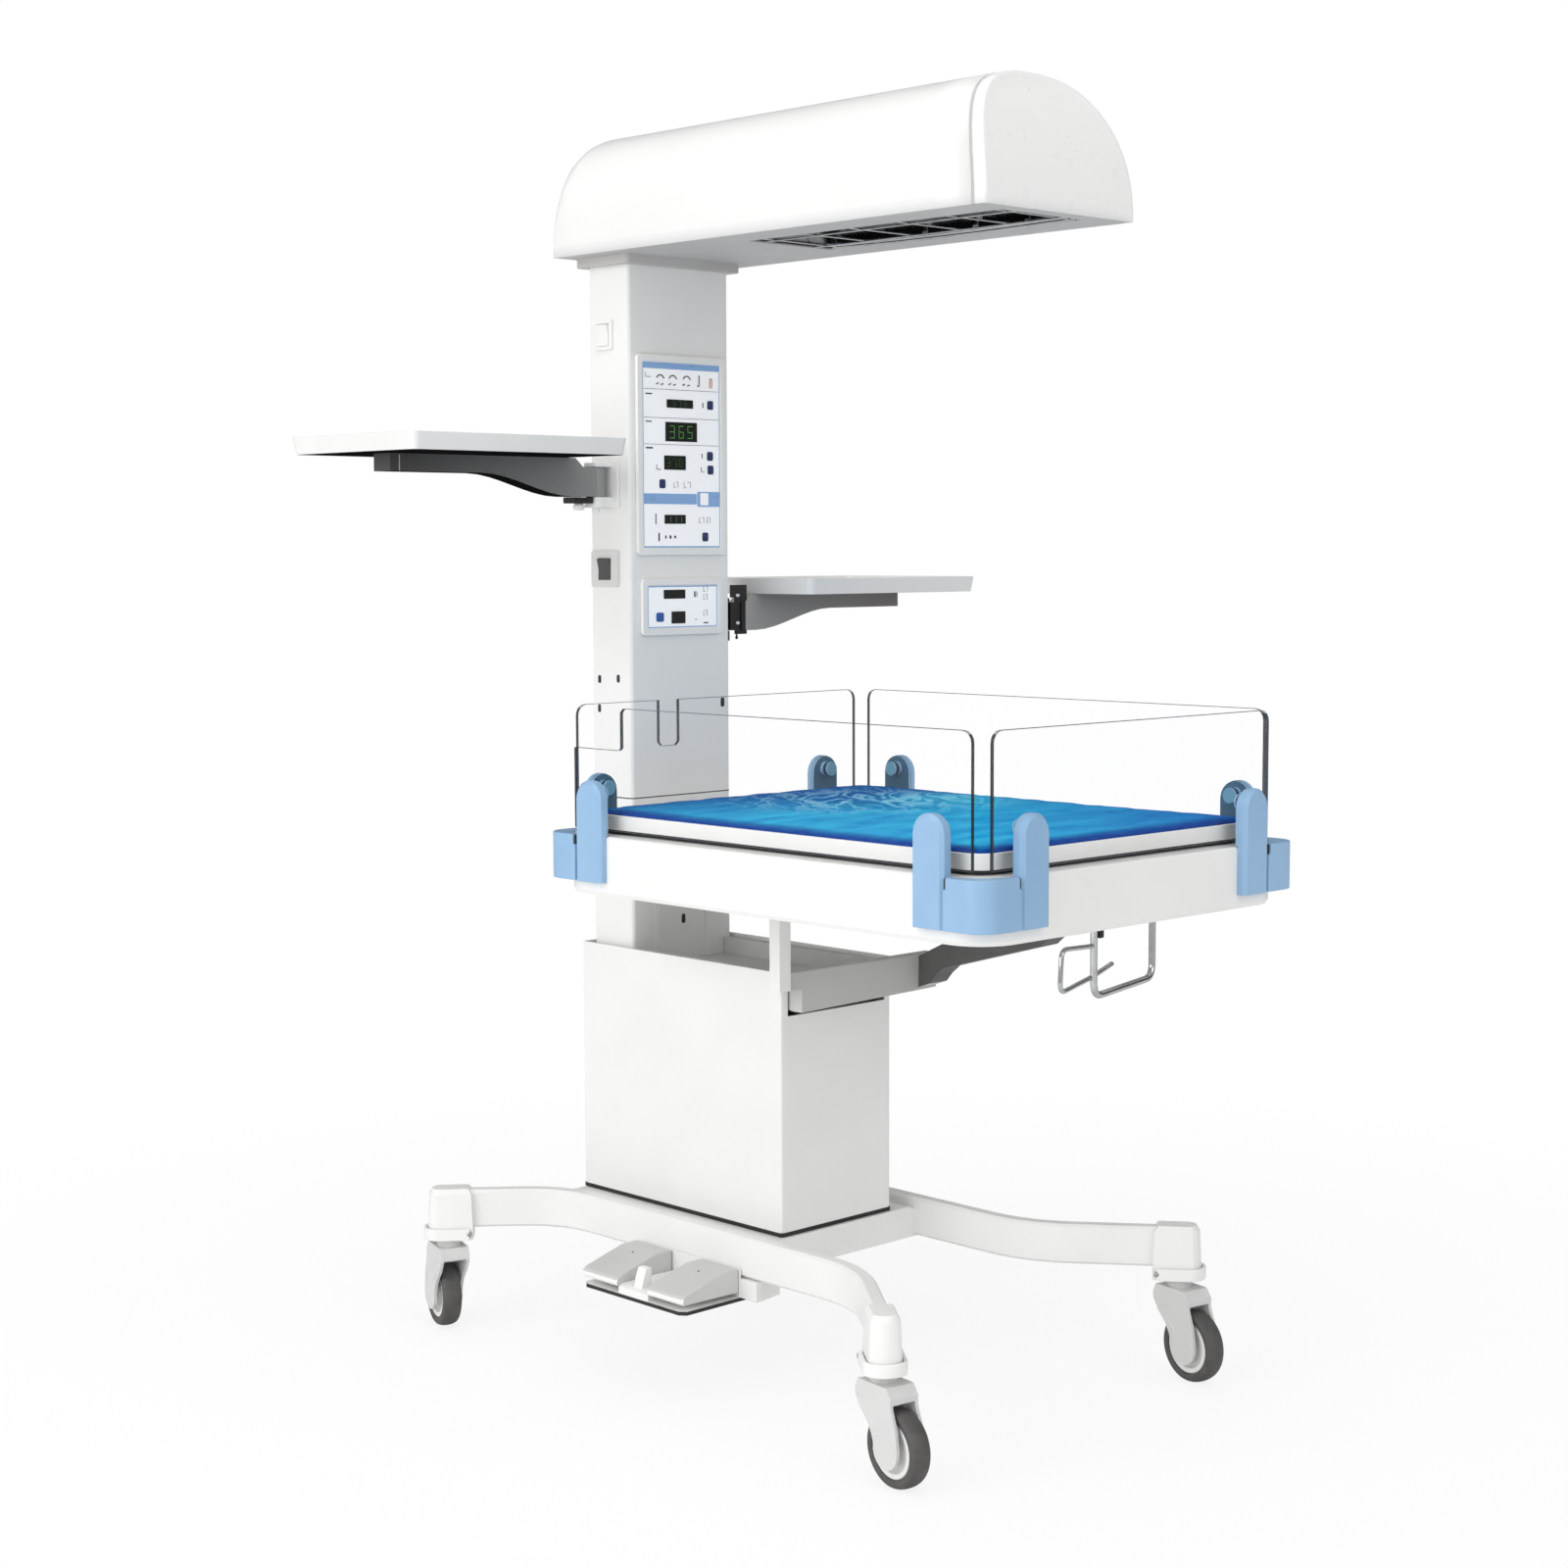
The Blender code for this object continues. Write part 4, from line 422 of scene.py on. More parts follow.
def bars(name, paths, radius, material, body, sides=10):
    """Round bars along point lists, as one piece."""
    points = []
    edges = []
    for path in paths:
        edges += [(len(points) + i, len(points) + i + 1) for i in range(len(path) - 1)]
        points += path
    piece = grown(name, points, edges, bar_tree, {"Radius": radius, "Sides": sides, "Finish": material})
    bm = bmesh.new()
    bm.from_mesh(piece.data)
    bmesh.ops.recalc_face_normals(bm, faces=bm.faces)
    bm.to_mesh(piece.data)
    bm.free()
    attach(piece, body)
    return piece


# Painted casting: light grey and satin, with the fine uneven skin of a casting under paint.
grey_cast = coated("grey_painted_casting", "#CFCFCE", "#D5D5D4", 0.38, 1.8)
# White nylon: moulded and a little waxy, so its highlights are broad.
nylon = coated("white_nylon", "#E4E4E2", "#E9E9E7", 0.42, 1.2, 0.06)
# Tyre rubber: dark grey and dull, with a fine grain and scuffed patches.
tyre_rubber = surface(
    "grey_tyre_rubber", "#484745", "#525150", 18.0, (0.50, 0.66), 6.0, (0.9, 0.15, 0.15),
)
TYRE_HALF = 0.0150
TYRE_DEEP = 0.0140
CROWN = 0.0075
ARM_FACE = 0.0235
EDGE_RIB = [
    (-0.060, 0.0640), (-0.040, 0.0610), (-0.018, 0.0500), (0.004, 0.0340), (0.017, 0.0160),
    (0.0215, 0.0),
]
ARM_RIB = [(-0.034, 0.0380), (-0.024, 0.0300), (-0.015, 0.0180)]
for end in ENDS:
    skin("caster_fork_" + end, "cast_fork_" + end, grey_cast, 0.0016, 3, 28.0)
    roll = joints["wheel_%s_roll" % end]
    hub = Vector(roll["pos_m"])
    axle = Vector(roll["axis"]).normalized()
    on_axle = facing(hub, axle)
    radius = hub.z
    rim = radius - TYRE_DEEP
    tread = [(rim, -0.0125), (rim + 0.0012, -0.0147)]
    for i in range(13):
        t = math.radians(-90 + 180 * i / 12)
        tread.append((radius - CROWN + CROWN * max(math.cos(t), 0.0) ** 0.7, TYRE_HALF * math.sin(t)))
    tread += [(rim + 0.0012, 0.0147), (rim, 0.0125)]
    bm = bmesh.new()
    turn_ring(bm, tread, 72, on_axle)
    tyre = finished("moulded_tyre_" + end, bm, tyre_rubber, "wheel_" + end)
    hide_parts("caster_wheel_" + end)
    half = [
        (0.0068, 0.0138), (0.0120, 0.0138), (0.0132, 0.0128), (0.0140, 0.0095), (0.0152, 0.0085),
        (rim - 0.0110, 0.0085), (rim - 0.0094, 0.0092), (rim - 0.0080, 0.0118), (rim - 0.0066, 0.0130),
        (rim - 0.0012, 0.0130), (rim, 0.0118),
    ]
    bm = bmesh.new()
    turn_ring(bm, half + [(r, -h) for r, h in reversed(half)], 72, on_axle)
    finished("nylon_hub_" + end, bm, nylon, "wheel_" + end)
    swivel = Vector(joints["caster_%s_swivel" % end]["pos_m"])
    trail = Vector((hub.x - swivel.x, hub.y - swivel.y, 0)).normalized()
    for ribs, line, sunk, thick in (
        ("edge_ribs_", EDGE_RIB, 0.0006, 0.0014), ("arm_ribs_", ARM_RIB, 0.0008, 0.0022),
    ):
        paths = []
        for side in (-1, 1):
            face = hub + axle * side * (ARM_FACE - sunk)
            paths.append(rounded([face + trail * u + Vector((0, 0, w)) for u, w in line], 0.03, 5))
        bars("cast_fork_" + ribs + end, paths, thick, grey_cast, "caster_" + end)

# Lift cabinet: a folded sheet-steel cover, powder coated, standing on the base frame.
# A plain guide inside it carries the column, and a black band lies in the gap at its foot: the guide's
# dark colour and the band are painted shade of that gap.


def belt(bm, box, radius, depths, heights):
    """A flat band round a box with rounded corners, between two distances out and two heights."""
    low, high = box
    inner, outer = depths
    bottom, top = heights
    rings = []
    for out, z in ((outer, bottom), (outer, top), (inner, top), (inner, bottom)):
        ring = []
        reach = radius + out
        for x, y, turn in (
            (high.x - radius, high.y - radius, 0), (low.x + radius, high.y - radius, 90),
            (low.x + radius, low.y + radius, 180), (high.x - radius, low.y + radius, 270),
        ):
            for k in range(7):
                a = math.radians(turn + 15 * k)
                ring.append(bm.verts.new((x + reach * math.cos(a), y + reach * math.sin(a), z)))
        rings.append(ring)
    for first, second in zip(rings, rings[1:] + rings[:1]):
        for i in range(len(first)):
            k = (i + 1) % len(first)
            bm.faces.new((first[i], first[k], second[k], second[i]))


# Gap shade: a dull grey black that hardly mirrors anything, painted where gaps are in shade.
gap_shade_dark = coated("dark_grey_gap_shade", "#2B2B2B", "#343434", 0.55, 1.6)
# Black rubber, also the painted shade in the gap at the cabinet's foot: matt and grainy, a shade above
# black.
black_rubber_and_gap_shade = coated("black_rubber_and_gap_shade", "#1A1A1A", "#232323", 0.62, 1.6, 0.12)
skin("cabinet_cover", "coated_cabinet", white_coat, 0.0016, 3)
# The guide's dark colour is painted shade of the gap at the cabinet's foot.
skin("lift_guide", "painted_lift_guide", gap_shade_dark, 0.0008)
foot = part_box("cabinet_cover")[0].z
# A black band in that gap: painted shade.
bm = bmesh.new()
belt(bm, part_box("cabinet_cover"), 0.004, (-0.0012, 0.0003), (foot - 0.0034, foot + 0.0026))
finished(
    "cabinet_foot_gap_shade", bm, black_rubber_and_gap_shade, frame["nodes"]["cabinet_cover"]["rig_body"],
)

# Foot switch: a white moulded housing on a black rubber foot, with two sprung pedals.
# Each pedal has a grey tread pad on its sloping top and a small black dot that marks it.
PEDAL_FALL = 0.020
DOT = [(0.0, -0.0010), (0.0016, -0.0010), (0.0016, 0.0004), (0.0010, 0.0007), (0.0, 0.0008)]


def housing_foot(face):
    """The lowest few millimetres of the housing are its rubber foot."""
    return 1 if face.calc_center_median().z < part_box("pedal_housing")[0].z + 0.0057 else 0


def tread_pad(face):
    """The pad covers the top of a pedal and turns down over its two flanks."""
    return 1 if face.normal.z > 0.3 or abs(face.normal.y) > 0.9 else 0


# Pedal pad: soft grey plastic with a visible grain against slipping.
pad_grey = coated("grey_pedal_pad", "#C3C3C2", "#CACAC9", 0.50, 1.4, 0.16)
skin("pedal_housing", "moulded_pedal_housing", [white_abs, black_rubber_and_gap_shade], 0.0010, choose=housing_foot)
for node in ("pedal_up", "pedal_down"):
    skin(node, "moulded_" + node, [white_abs, pad_grey], 0.0022, 3, 22.0, tread_pad)
    low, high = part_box(node)
    spot = Vector(((low.x + high.x) / 2 + 0.012, (low.y + high.y) / 2, 0))
    spot.z = high.z - PEDAL_FALL * (high.x - 0.0305 - spot.x) / (high.x - low.x - 0.0385)
    lean = math.atan2(PEDAL_FALL, high.x - low.x - 0.030)
    bm = bmesh.new()
    turn_solid(bm, DOT, 20, Matrix.Translation(spot) @ Matrix.Rotation(-lean, 4, "Y"))
    finished("dot_on_" + node, bm, black_rubber_and_gap_shade, frame["nodes"][node]["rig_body"])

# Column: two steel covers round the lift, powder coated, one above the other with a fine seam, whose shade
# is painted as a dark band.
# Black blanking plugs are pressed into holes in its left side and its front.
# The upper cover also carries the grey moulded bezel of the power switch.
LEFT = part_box("column_lower")[0].x
SEAM_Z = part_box("column_upper")[0].z
POWER_Z = joints["power_switch_rock"]["pos_m"][2]


def bezel(face):
    """The bezel is what stands proud of the left side near the power switch."""
    spot = face.calc_center_median()
    return 1 if spot.x < LEFT - 0.0006 and abs(spot.z - POWER_Z) < 0.04 else 0


# Plug tree: sets one round-cornered block of a set size on each point.
plug_tree, given = node_group(
    "plugs_on_points", {"Points": "Geometry", "Size": "Vector", "Finish": "Material"}, "Plugs",
)
block = add_node(
    plug_tree, "GeometryNodeMeshCube",
    {"Size": given["Size"], "Vertices X": 3, "Vertices Y": 3, "Vertices Z": 3},
)
soft = add_node(plug_tree, "GeometryNodeSubdivisionSurface", {"Mesh": block.outputs[0], "Level": 2})
placed = add_node(
    plug_tree, "GeometryNodeInstanceOnPoints", {"Points": given["Points"], "Instance": soft.outputs[0]},
)
close_group(plug_tree, placed.outputs[0], given["Finish"], "Plugs")


def plugs(name, points, size, material, body):
    """Small blocks half sunk in a face at each point, as one piece."""
    piece = grown(name, points, [], plug_tree, {"Size": size, "Finish": material})
    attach(piece, body)


# Black ABS, also the painted shade in the gap under the platform and in the latch slots: nearly black,
# with a satin gloss.
black_abs_and_gap_shade = coated("black_abs_and_gap_shade", "#141414", "#1B1B1B", 0.42, 1.2, 0.08)
# Bezel plastic: the light grey of the switch surround.
bezel_grey = coated("grey_switch_bezel", "#CFCFCC", "#D6D6D3", 0.40, 1.2, 0.06)
skin("column_lower", "coated_column_lower", white_coat, 0.0008)
skin("column_upper", "coated_column_upper", [white_coat, bezel_grey], 0.0008, choose=bezel)
# The seam's shade: a painted dark band round the column.
bm = bmesh.new()
belt(bm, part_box("column_lower"), 0.007, (-0.0010, 0.0002), (SEAM_Z - 0.0012, SEAM_Z + 0.0006))
finished("column_seam_shade", bm, gap_shade_dark, "column")
side_spots = [
    (LEFT, FRONT + y, SEAM_Z + z)
    for y, z in ((0.075, 0.184), (0.030, 0.186), (0.076, 0.138))
]
front_spots = [(x, FRONT, SEAM_Z + z) for x, z in ((0.001, -0.199), (0.088, 0.1425))]
plugs("column_side_plugs", side_spots, (0.0016, 0.0072, 0.0125), black_abs_and_gap_shade, "column")
plugs("column_front_plugs", front_spots, (0.0080, 0.0016, 0.0150), black_abs_and_gap_shade, "column")

# Rocker switches: a white lamp rocker high on the left side and a dark power rocker lower down.
# Both are moulded and snap into their bezels, where they tip on a pin.
# Rocker plastic: dark grey, glossier than the black parts.
rocker_grey = coated("dark_grey_rocker", "#3E3E3D", "#484847", 0.38, 1.2, 0.06)
skin("lamp_switch", "moulded_lamp_switch", white_abs, 0.0006, 2, 25.0)
skin("power_switch", "moulded_power_switch", rocker_grey, 0.0006, 2, 25.0)

# Control panels: a white moulded frame with a sunk printed membrane, display windows and membrane keys.
# The print is flat colour under a satin film; the windows are smoked plastic over green segments.
# All print is plain marks: rectangles given in mm as left, right, low and high from a panel's foot.
PRINT = FRONT - 0.0043
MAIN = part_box("control_panel")[0].z
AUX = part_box("aux_panel")[0].z


def from_mm(foot, rects):
    """Rectangles in mm on a panel, as metres in the part's frame."""
    return [(x0 / 1000, x1 / 1000, foot + z0 / 1000, foot + z1 / 1000) for x0, x1, z0, z1 in rects]


def tile(bm, rect, front, radius, depth):
    """A thin round-cornered plate on the panel, its face at the given height off the print."""
    x0, x1, z0, z1 = rect
    radius = min(radius, 0.45 * (x1 - x0), 0.45 * (z1 - z0))
    line = []
    for x, z, turn in (
        (x1 - radius, z1 - radius, 0), (x0 + radius, z1 - radius, 90), (x0 + radius, z0 + radius, 180),
        (x1 - radius, z0 + radius, 270),
    ):
        for i in range(4):
            a = math.radians(turn + 30 * i)
            line.append((x + radius * math.cos(a), z + radius * math.sin(a)))
    face = [bm.verts.new((x, PRINT - front, z)) for x, z in line]
    back = [bm.verts.new((x, PRINT - front + depth, z)) for x, z in line]
    bm.faces.new(face)
    bm.faces.new(list(reversed(back)))
    for i in range(len(line)):
        k = (i + 1) % len(line)
        bm.faces.new((face[i], back[i], back[k], face[k]))


def prints(name, material, rects, front, radius=0.0006, depth=0.0002):
    """One colour of the print, or one kind of raised window or key, as one piece."""
    bm = bmesh.new()
    for rect in rects:
        tile(bm, rect, front, radius, depth)
    finished(name, bm, material, "column", smooth=False)


def digit(segments, x, z, high, thick):
    """Bars of one seven-segment figure, as rectangles in mm."""
    wide = high * 0.52
    mid = z + high / 2
    spots = {
        "a": (x, x + wide, z + high - thick, z + high),
        "b": (x + wide - thick, x + wide, mid, z + high), "c": (x + wide - thick, x + wide, z, mid),
        "d": (x, x + wide, z, z + thick), "e": (x, x + thick, z, mid),
        "f": (x, x + thick, mid, z + high), "g": (x, x + wide, mid - thick / 2, mid + thick / 2),
    }
    return [spots[s] for s in segments]


for node in ("control_panel", "aux_panel"):
    skin(node, "moulded_" + node, white_abs, 0.0014, 3)

# Printed film: flat ink under a satin sheet, so all colours share one even sheen.
# The white has a little light of its own, a painted glow, so that it looks brighter than the moulded frame
# round it.
film_white = coated(
    "printed_film_white", "#F8F9FB", "#FBFCFD", 0.30, 0.9, 0.02,
    constants={"Emission Color": srgb("#FFFFFF"), "Emission Strength": 0.12},
)
film_blue = coated("printed_film_blue", "#86AEDD", "#8FB5E1", 0.30, 0.9, 0.03)
film_line = coated("printed_line_grey", "#6B7078", "#767B83", 0.35, 0.9, 0.02)
key_navy = coated("printed_key_navy", "#24335C", "#2B3B66", 0.28, 0.9, 0.04)
key_blue = coated("printed_key_blue", "#2B55A0", "#325EAA", 0.28, 0.9, 0.04)
ink_dark = coated("printed_ink", "#262930", "#31343C", 0.35, 0.9, 0.02)
ink_orange = coated("printed_ink_orange", "#C9835A", "#D08C63", 0.35, 0.9, 0.02)
film_main = from_mm(MAIN, [(-80.6, 80.6, 12.0, 298.0)])
film_aux = from_mm(AUX, [(-73.2, 73.2, 12.0, 77.0)])
prints("fascia_film", film_white, film_main + film_aux, 0.0004, 0.004, 0.0004)
bands_main = from_mm(
    MAIN,
    [
        (-80.6, 80.6, 288.5, 298.0), (-80.6, 80.6, 12.0, 14.2), (-80.6, -79.2, 15.0, 288.0),
        (79.2, 80.6, 15.0, 288.0), (-79.0, 31.0, 79.5, 96.0),
    ],
)
bands_aux = from_mm(
    AUX,
    [
        (-73.2, 73.2, 75.2, 77.0), (-73.2, 73.2, 12.0, 13.6), (-73.2, -71.8, 14.0, 75.0),
        (71.8, 73.2, 14.0, 75.0),
    ],
)
prints("fascia_blue_bands", film_blue, bands_main + bands_aux, 0.00055)
prints("fascia_blue_block", film_blue, from_mm(MAIN, [(32.0, 79.0, 76.0, 99.5)]), 0.0010, 0.001, 0.0006)
prints(
    "fascia_white_square", film_white, from_mm(MAIN, [(38.0, 55.0, 78.5, 97.5)]), 0.0013, 0.001, 0.0004,
)
rules = [(-78.5, 78.5, z - 0.4, z + 0.4) for z in (257.0, 213.0, 172.0)]
prints("fascia_rule_lines", film_line, from_mm(MAIN, rules), 0.0006)

# Smoked window: nearly black with a sharp gloss. Green segments: lit ones glow weakly, dim ones do not.
smoked = surface("smoked_window", "#0A0F0B", "#10170F", 9.0, 0.12)
lit_green = surface(
    "lit_green_segment", "#2F7A30", "#5FA64A", 5.0, 0.4,
    constants={"Emission Color": srgb("#5BB04A"), "Emission Strength": 0.15},
)
dim_green = surface("dim_green_segment", "#1C3A1E", "#2C5A2C", 5.0, 0.4)
windows_main = from_mm(
    MAIN,
    [
        (-31.0, 24.0, 229.0, 242.0), (-34.0, 32.0, 177.0, 207.0), (-37.0, 8.0, 133.0, 155.0),
        (-37.0, 7.0, 49.0, 63.0),
    ],
)
windows_aux = from_mm(AUX, [(-40.0, 5.0, 57.0, 71.0), (-24.0, 5.0, 18.0, 37.0)])
prints("display_windows", smoked, windows_main + windows_aux, 0.0010, 0.0008, 0.0006)
keys = [(60.5, 235.5), (59.5, 155.5), (60.5, 134.0), (-41.0, 111.0), (48.5, 28.5)]
key_rects = [(x - 6.2, x + 6.2, z - 7.0, z + 7.0) for x, z in keys]
prints("membrane_keys", key_navy, from_mm(MAIN, key_rects), 0.0011, 0.0028, 0.0007)
prints("membrane_key_aux", key_blue, from_mm(AUX, [(-55.8, -40.2, 21.3, 35.7)]), 0.0011, 0.0028, 0.0007)
FIGURES = {"0": "abcdef", "3": "abcdg", "5": "acdfg", "6": "acdefg", "7": "abc"}
lit = []
for k, mark in enumerate("365"):
    lit += digit(FIGURES[mark], -25.0 + 18.5 * k, 182.0, 19.5, 1.1)
dim = []
for k, mark in enumerate("370"):
    dim += digit(FIGURES[mark], -18.0 + 12.0 * k, 231.0, 9.0, 1.1)
    dim += digit(FIGURES[mark], -31.0 + 12.0 * k, 137.0, 13.5, 1.3)
pale = [(x, x + 0.9, 51.5, 60.5) for x in (-25.0, -13.0, -2.0)]
for name, material, rects in (
    ("display_lit_segments", lit_green, lit), ("display_dim_segments", dim_green, dim),
    ("display_pale_bars", film_line, pale),
):
    prints(name, material, from_mm(MAIN, rects), 0.00112, 0.0003, 0.0001)
marks_main = from_mm(
    MAIN,
    [
        (-76.0, -64.0, 275.0, 276.0), (-74.5, -73.5, 277.0, 282.0), (-74.5, -61.0, 248.5, 250.5),
        (-74.5, -62.0, 206.0, 207.8), (-74.5, -60.0, 165.0, 167.5), (44.0, 46.2, 231.0, 239.0),
        (42.0, 43.8, 152.0, 159.5), (40.5, 42.0, 130.0, 138.0), (44.0, 48.0, 130.0, 131.2),
        (-53.0, -51.8, 133.0, 141.0), (-53.0, -43.0, 132.6, 133.8), (-56.0, -54.0, 48.0, 65.0),
        (-50.0, -47.0, 22.0, 35.0), (-36.0, -33.0, 26.0, 31.0), (-27.0, -23.0, 26.0, 31.0),
        (-17.0, -13.0, 26.5, 30.5),
    ],
)
marks_aux = from_mm(
    AUX,
    [
        (24.0, 27.0, 59.0, 68.0), (29.0, 30.5, 59.0, 68.0), (25.5, 30.0, 23.0, 24.2),
        (44.0, 54.0, 17.0, 19.0),
    ],
)
prints("fascia_small_marks", ink_dark, marks_main + marks_aux, 0.0006, 0.0003)
OUTLINE_HIGH = 9.5
LINE = 0.8
outlines = []
for foot, spots in (
    (MAIN, ((-17.0, 105.0, 9.0), (4.0, 105.0, 14.0), (36.0, 50.0, 10.0), (52.0, 50.0, 7.0))),
    (AUX, ((44.0, 67.0, 9.0), (44.0, 54.0, 8.0), (44.0, 29.0, 8.0))),
):
    for x, z, wide in spots:
        right = x + wide
        top = z + OUTLINE_HIGH
        outlines += from_mm(
            foot,
            [
                (x, x + LINE, z, top), (right - LINE, right, z, top), (x, x + wide * 0.4, z, z + LINE),
                (x + wide * 0.5, right, top - LINE, top),
            ],
        )
prints("fascia_key_outlines", ink_dark, outlines, 0.0006, 0.0002)
orange = [(59.0, 61.2, 262.0, 277.0), (63.0, 65.2, 262.0, 277.0), (59.0, 65.2, 276.0, 277.5)]
prints("fascia_orange_mark", ink_orange, from_mm(MAIN, orange), 0.0006, 0.0003)
strokes = []
for x in (-44.0, -18.0, 11.0):
    turns = [math.radians(a) for a in range(20, 170, 15)]
    strokes.append([(x + 8.0 * math.cos(a), 271.0 + 8.0 * math.sin(a)) for a in turns])
    strokes.append([(x - 8.5, 264.5), (x - 4.0, 266.5)])
    strokes.append([(x + 1.0, 264.0), (x + 6.0, 265.5)])
strokes.append([(33.0, 264.5), (37.0, 264.5), (37.0, 281.0)])
signs = [[(x / 1000, PRINT - 0.0006, MAIN + z / 1000) for x, z in stroke] for stroke in strokes]
bars("fascia_care_signs", signs, 0.0010, ink_dark, "column", 6)

# Heater hood: an arched white moulding with a separate front cap that leans back, over a grey painted pan.
# The wall is 3 mm gloss ABS, so the long side shows soft reflections.
# Cap and shell meet at a fine recessed band, coloured grey.
HOOD_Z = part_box("hood_shell")[0].z
HOOD_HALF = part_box("hood_shell")[1].x
HOOD_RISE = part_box("hood_shell")[1].z - HOOD_Z
HOOD_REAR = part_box("hood_shell")[1].y
HOOD_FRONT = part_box("hood_end_cap")[0].y
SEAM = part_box("hood_shell")[0].y
ARCH_POWER = 2 / 2.7
ARCH_STEPS = 72
CAP_LEAN = 0.052
REAR_ROUND = 0.034
REAR_SQUASH = 0.90


def arch(y, inset, squash=1.0, lean=CAP_LEAN):
    """One row of the hood's arch, from the right foot over the top to the left foot."""
    row = []
    for i in range(ARCH_STEPS + 1):
        t = math.pi * i / ARCH_STEPS
        c = math.cos(t)
        h = max(math.sin(t), 0.0) ** ARCH_POWER
        x = math.copysign(abs(c) ** ARCH_POWER, c) * (HOOD_HALF - inset) * (1 - (1 - squash) * 0.5 * h)
        row.append(Vector((x, y + lean * h * h, HOOD_Z + h * (HOOD_RISE - inset) * squash)))
    return row


def loft(bm, rows):
    """Skins the strips between rows of points that are equally long."""
    for first, second in zip(rows, rows[1:]):
        for i in range(len(first) - 1):
            bm.faces.new((first[i], first[i + 1], second[i + 1], second[i]))


def hood_piece(name, rows, material, node):
    """Lofts arch rows to a walled skin, and closes the first row down to the hood's foot line."""
    bm = bmesh.new()
    made = [[bm.verts.new(p) for p in row] for row in rows]
    loft(bm, made)
    foot_y = rows[0][0].y
    levels = 10
    strips = []
    for top, vert in zip(rows[0], made[0]):
        strip = [vert]
        for k in range(1, levels + 1):
            t = 1 - k / levels
            spot = (top.x, foot_y + (top.y - foot_y) * t * t, HOOD_Z + (top.z - HOOD_Z) * t)
            strip.append(bm.verts.new(spot))
        strips.append(strip)
    loft(bm, strips)
    bmesh.ops.remove_doubles(bm, verts=bm.verts, dist=1e-5)
    piece = finished(name, bm, material, "column")
    piece.modifiers.clear()
    wall = piece.modifiers.new("wall", "SOLIDIFY")
    wall.thickness = 0.003
    wall.offset = -1.0
    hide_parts(node)


# Gloss ABS: smooth and even, with clear soft highlights; the cap is a shade lighter than the shell.
gloss_abs = coated("gloss_white_abs", "#E4E4E3", "#E6E6E5", 0.26, peel=0.0, vary=0.01)
cap_abs = coated("gloss_white_abs_cap", "#EDEDEC", "#EFEFEE", 0.28, peel=0.0, vary=0.01)
# Pan paint: warm grey and satin. Seam band: a dull grey line.
pan_grey = coated("grey_pan_paint", "#BAB8B6", "#C2C0BE", 0.45, 1.6)
seam_grey = coated("seam_band_grey", "#B2B2B1", "#B9B9B8", 0.45, 1.2, 0.05)
shell_rows = [arch(HOOD_REAR - 0.0005, 0.0005, REAR_SQUASH, 0.0)]
for k in range(9):
    a = math.radians(90 * k / 8)
    squash = REAR_SQUASH + (1 - REAR_SQUASH) * math.sin(a)
    shell_rows.append(arch(HOOD_REAR - REAR_ROUND * (1 - math.cos(a)), 0.0, squash, 0.0))
for k in range(1, 13):
    t = k / 12
    y = HOOD_REAR - REAR_ROUND + (SEAM - HOOD_REAR + REAR_ROUND) * t
    shell_rows.append(arch(y, 0.0, 1.0, CAP_LEAN * t))
shell_rows.append(arch(SEAM - 0.0002, 0.0022))
hood_piece("moulded_hood_shell", shell_rows, gloss_abs, "hood_shell")
cap_rows = [arch(HOOD_FRONT, 0.0055, 0.997), arch(HOOD_FRONT + 0.0006, 0.0030, 0.998)]
cap_rows += [arch(HOOD_FRONT + y, inset) for y, inset in ((0.0020, 0.0010), (0.0045, 0.0))]
cap_rows += [arch(SEAM - y, inset) for y, inset in ((0.0090, 0.0), (0.0058, 0.0), (0.0054, 0.0022))]
hood_piece("moulded_hood_cap", cap_rows, cap_abs, "hood_end_cap")
bm = bmesh.new()
section = ((-0.0062, 0.0040), (-0.0062, 0.0010), (0.0006, 0.0010), (0.0006, 0.0040))
rows = [[bm.verts.new(p) for p in arch(SEAM + y, inset)] for y, inset in section]
loft(bm, rows + rows[:1])
finished("hood_seam_band", bm, seam_grey, "column")
skin("hood_pan", "painted_hood_pan", pan_grey, 0.0006)

# Heater: a bright aluminium trough set in the pan, with quartz tubes in ceramic holders.
# Chromed guard wires cross its opening. Along its right side run two bright rails and a row of dark slots.


def box_in(bm, centre, size, round_edge=0.0, segments=2):
    """Adds a box about a centre, with its edges rounded where a radius is given."""
    place = Matrix.Translation(centre) @ Matrix.Diagonal((*size, 1))
    made = bmesh.ops.create_cube(bm, size=1.0, matrix=place)
    if round_edge:
        corners = set(made["verts"])
        edges = [edge for edge in bm.edges if edge.verts[0] in corners]
        bmesh.ops.bevel(
            bm, geom=edges, offset=round_edge, segments=segments, affect="EDGES", profile=0.5,
        )


# Aluminium sheet: rolled bright, with cloudy reflections. Quartz: darkened by use, with a hard gloss.
bright = surface(
    "bright_aluminium_sheet", "#7E7E7E", "#A4A4A4", 30.0, (0.22, 0.36), 12.0,
    constants={"Metallic": 1.0},
)
quartz = coated("sooted_quartz", "#3A3836", "#4A4846", 0.20, 2.0, 0.03)
# Chrome plate: a clear mirror, slightly uneven as plated wire is.
chrome = surface(
    "bright_chrome_plate", "#B4B6B8", "#C6C8CA", 25.0, (0.07, 0.14), 8.0, constants={"Metallic": 1.0},
)
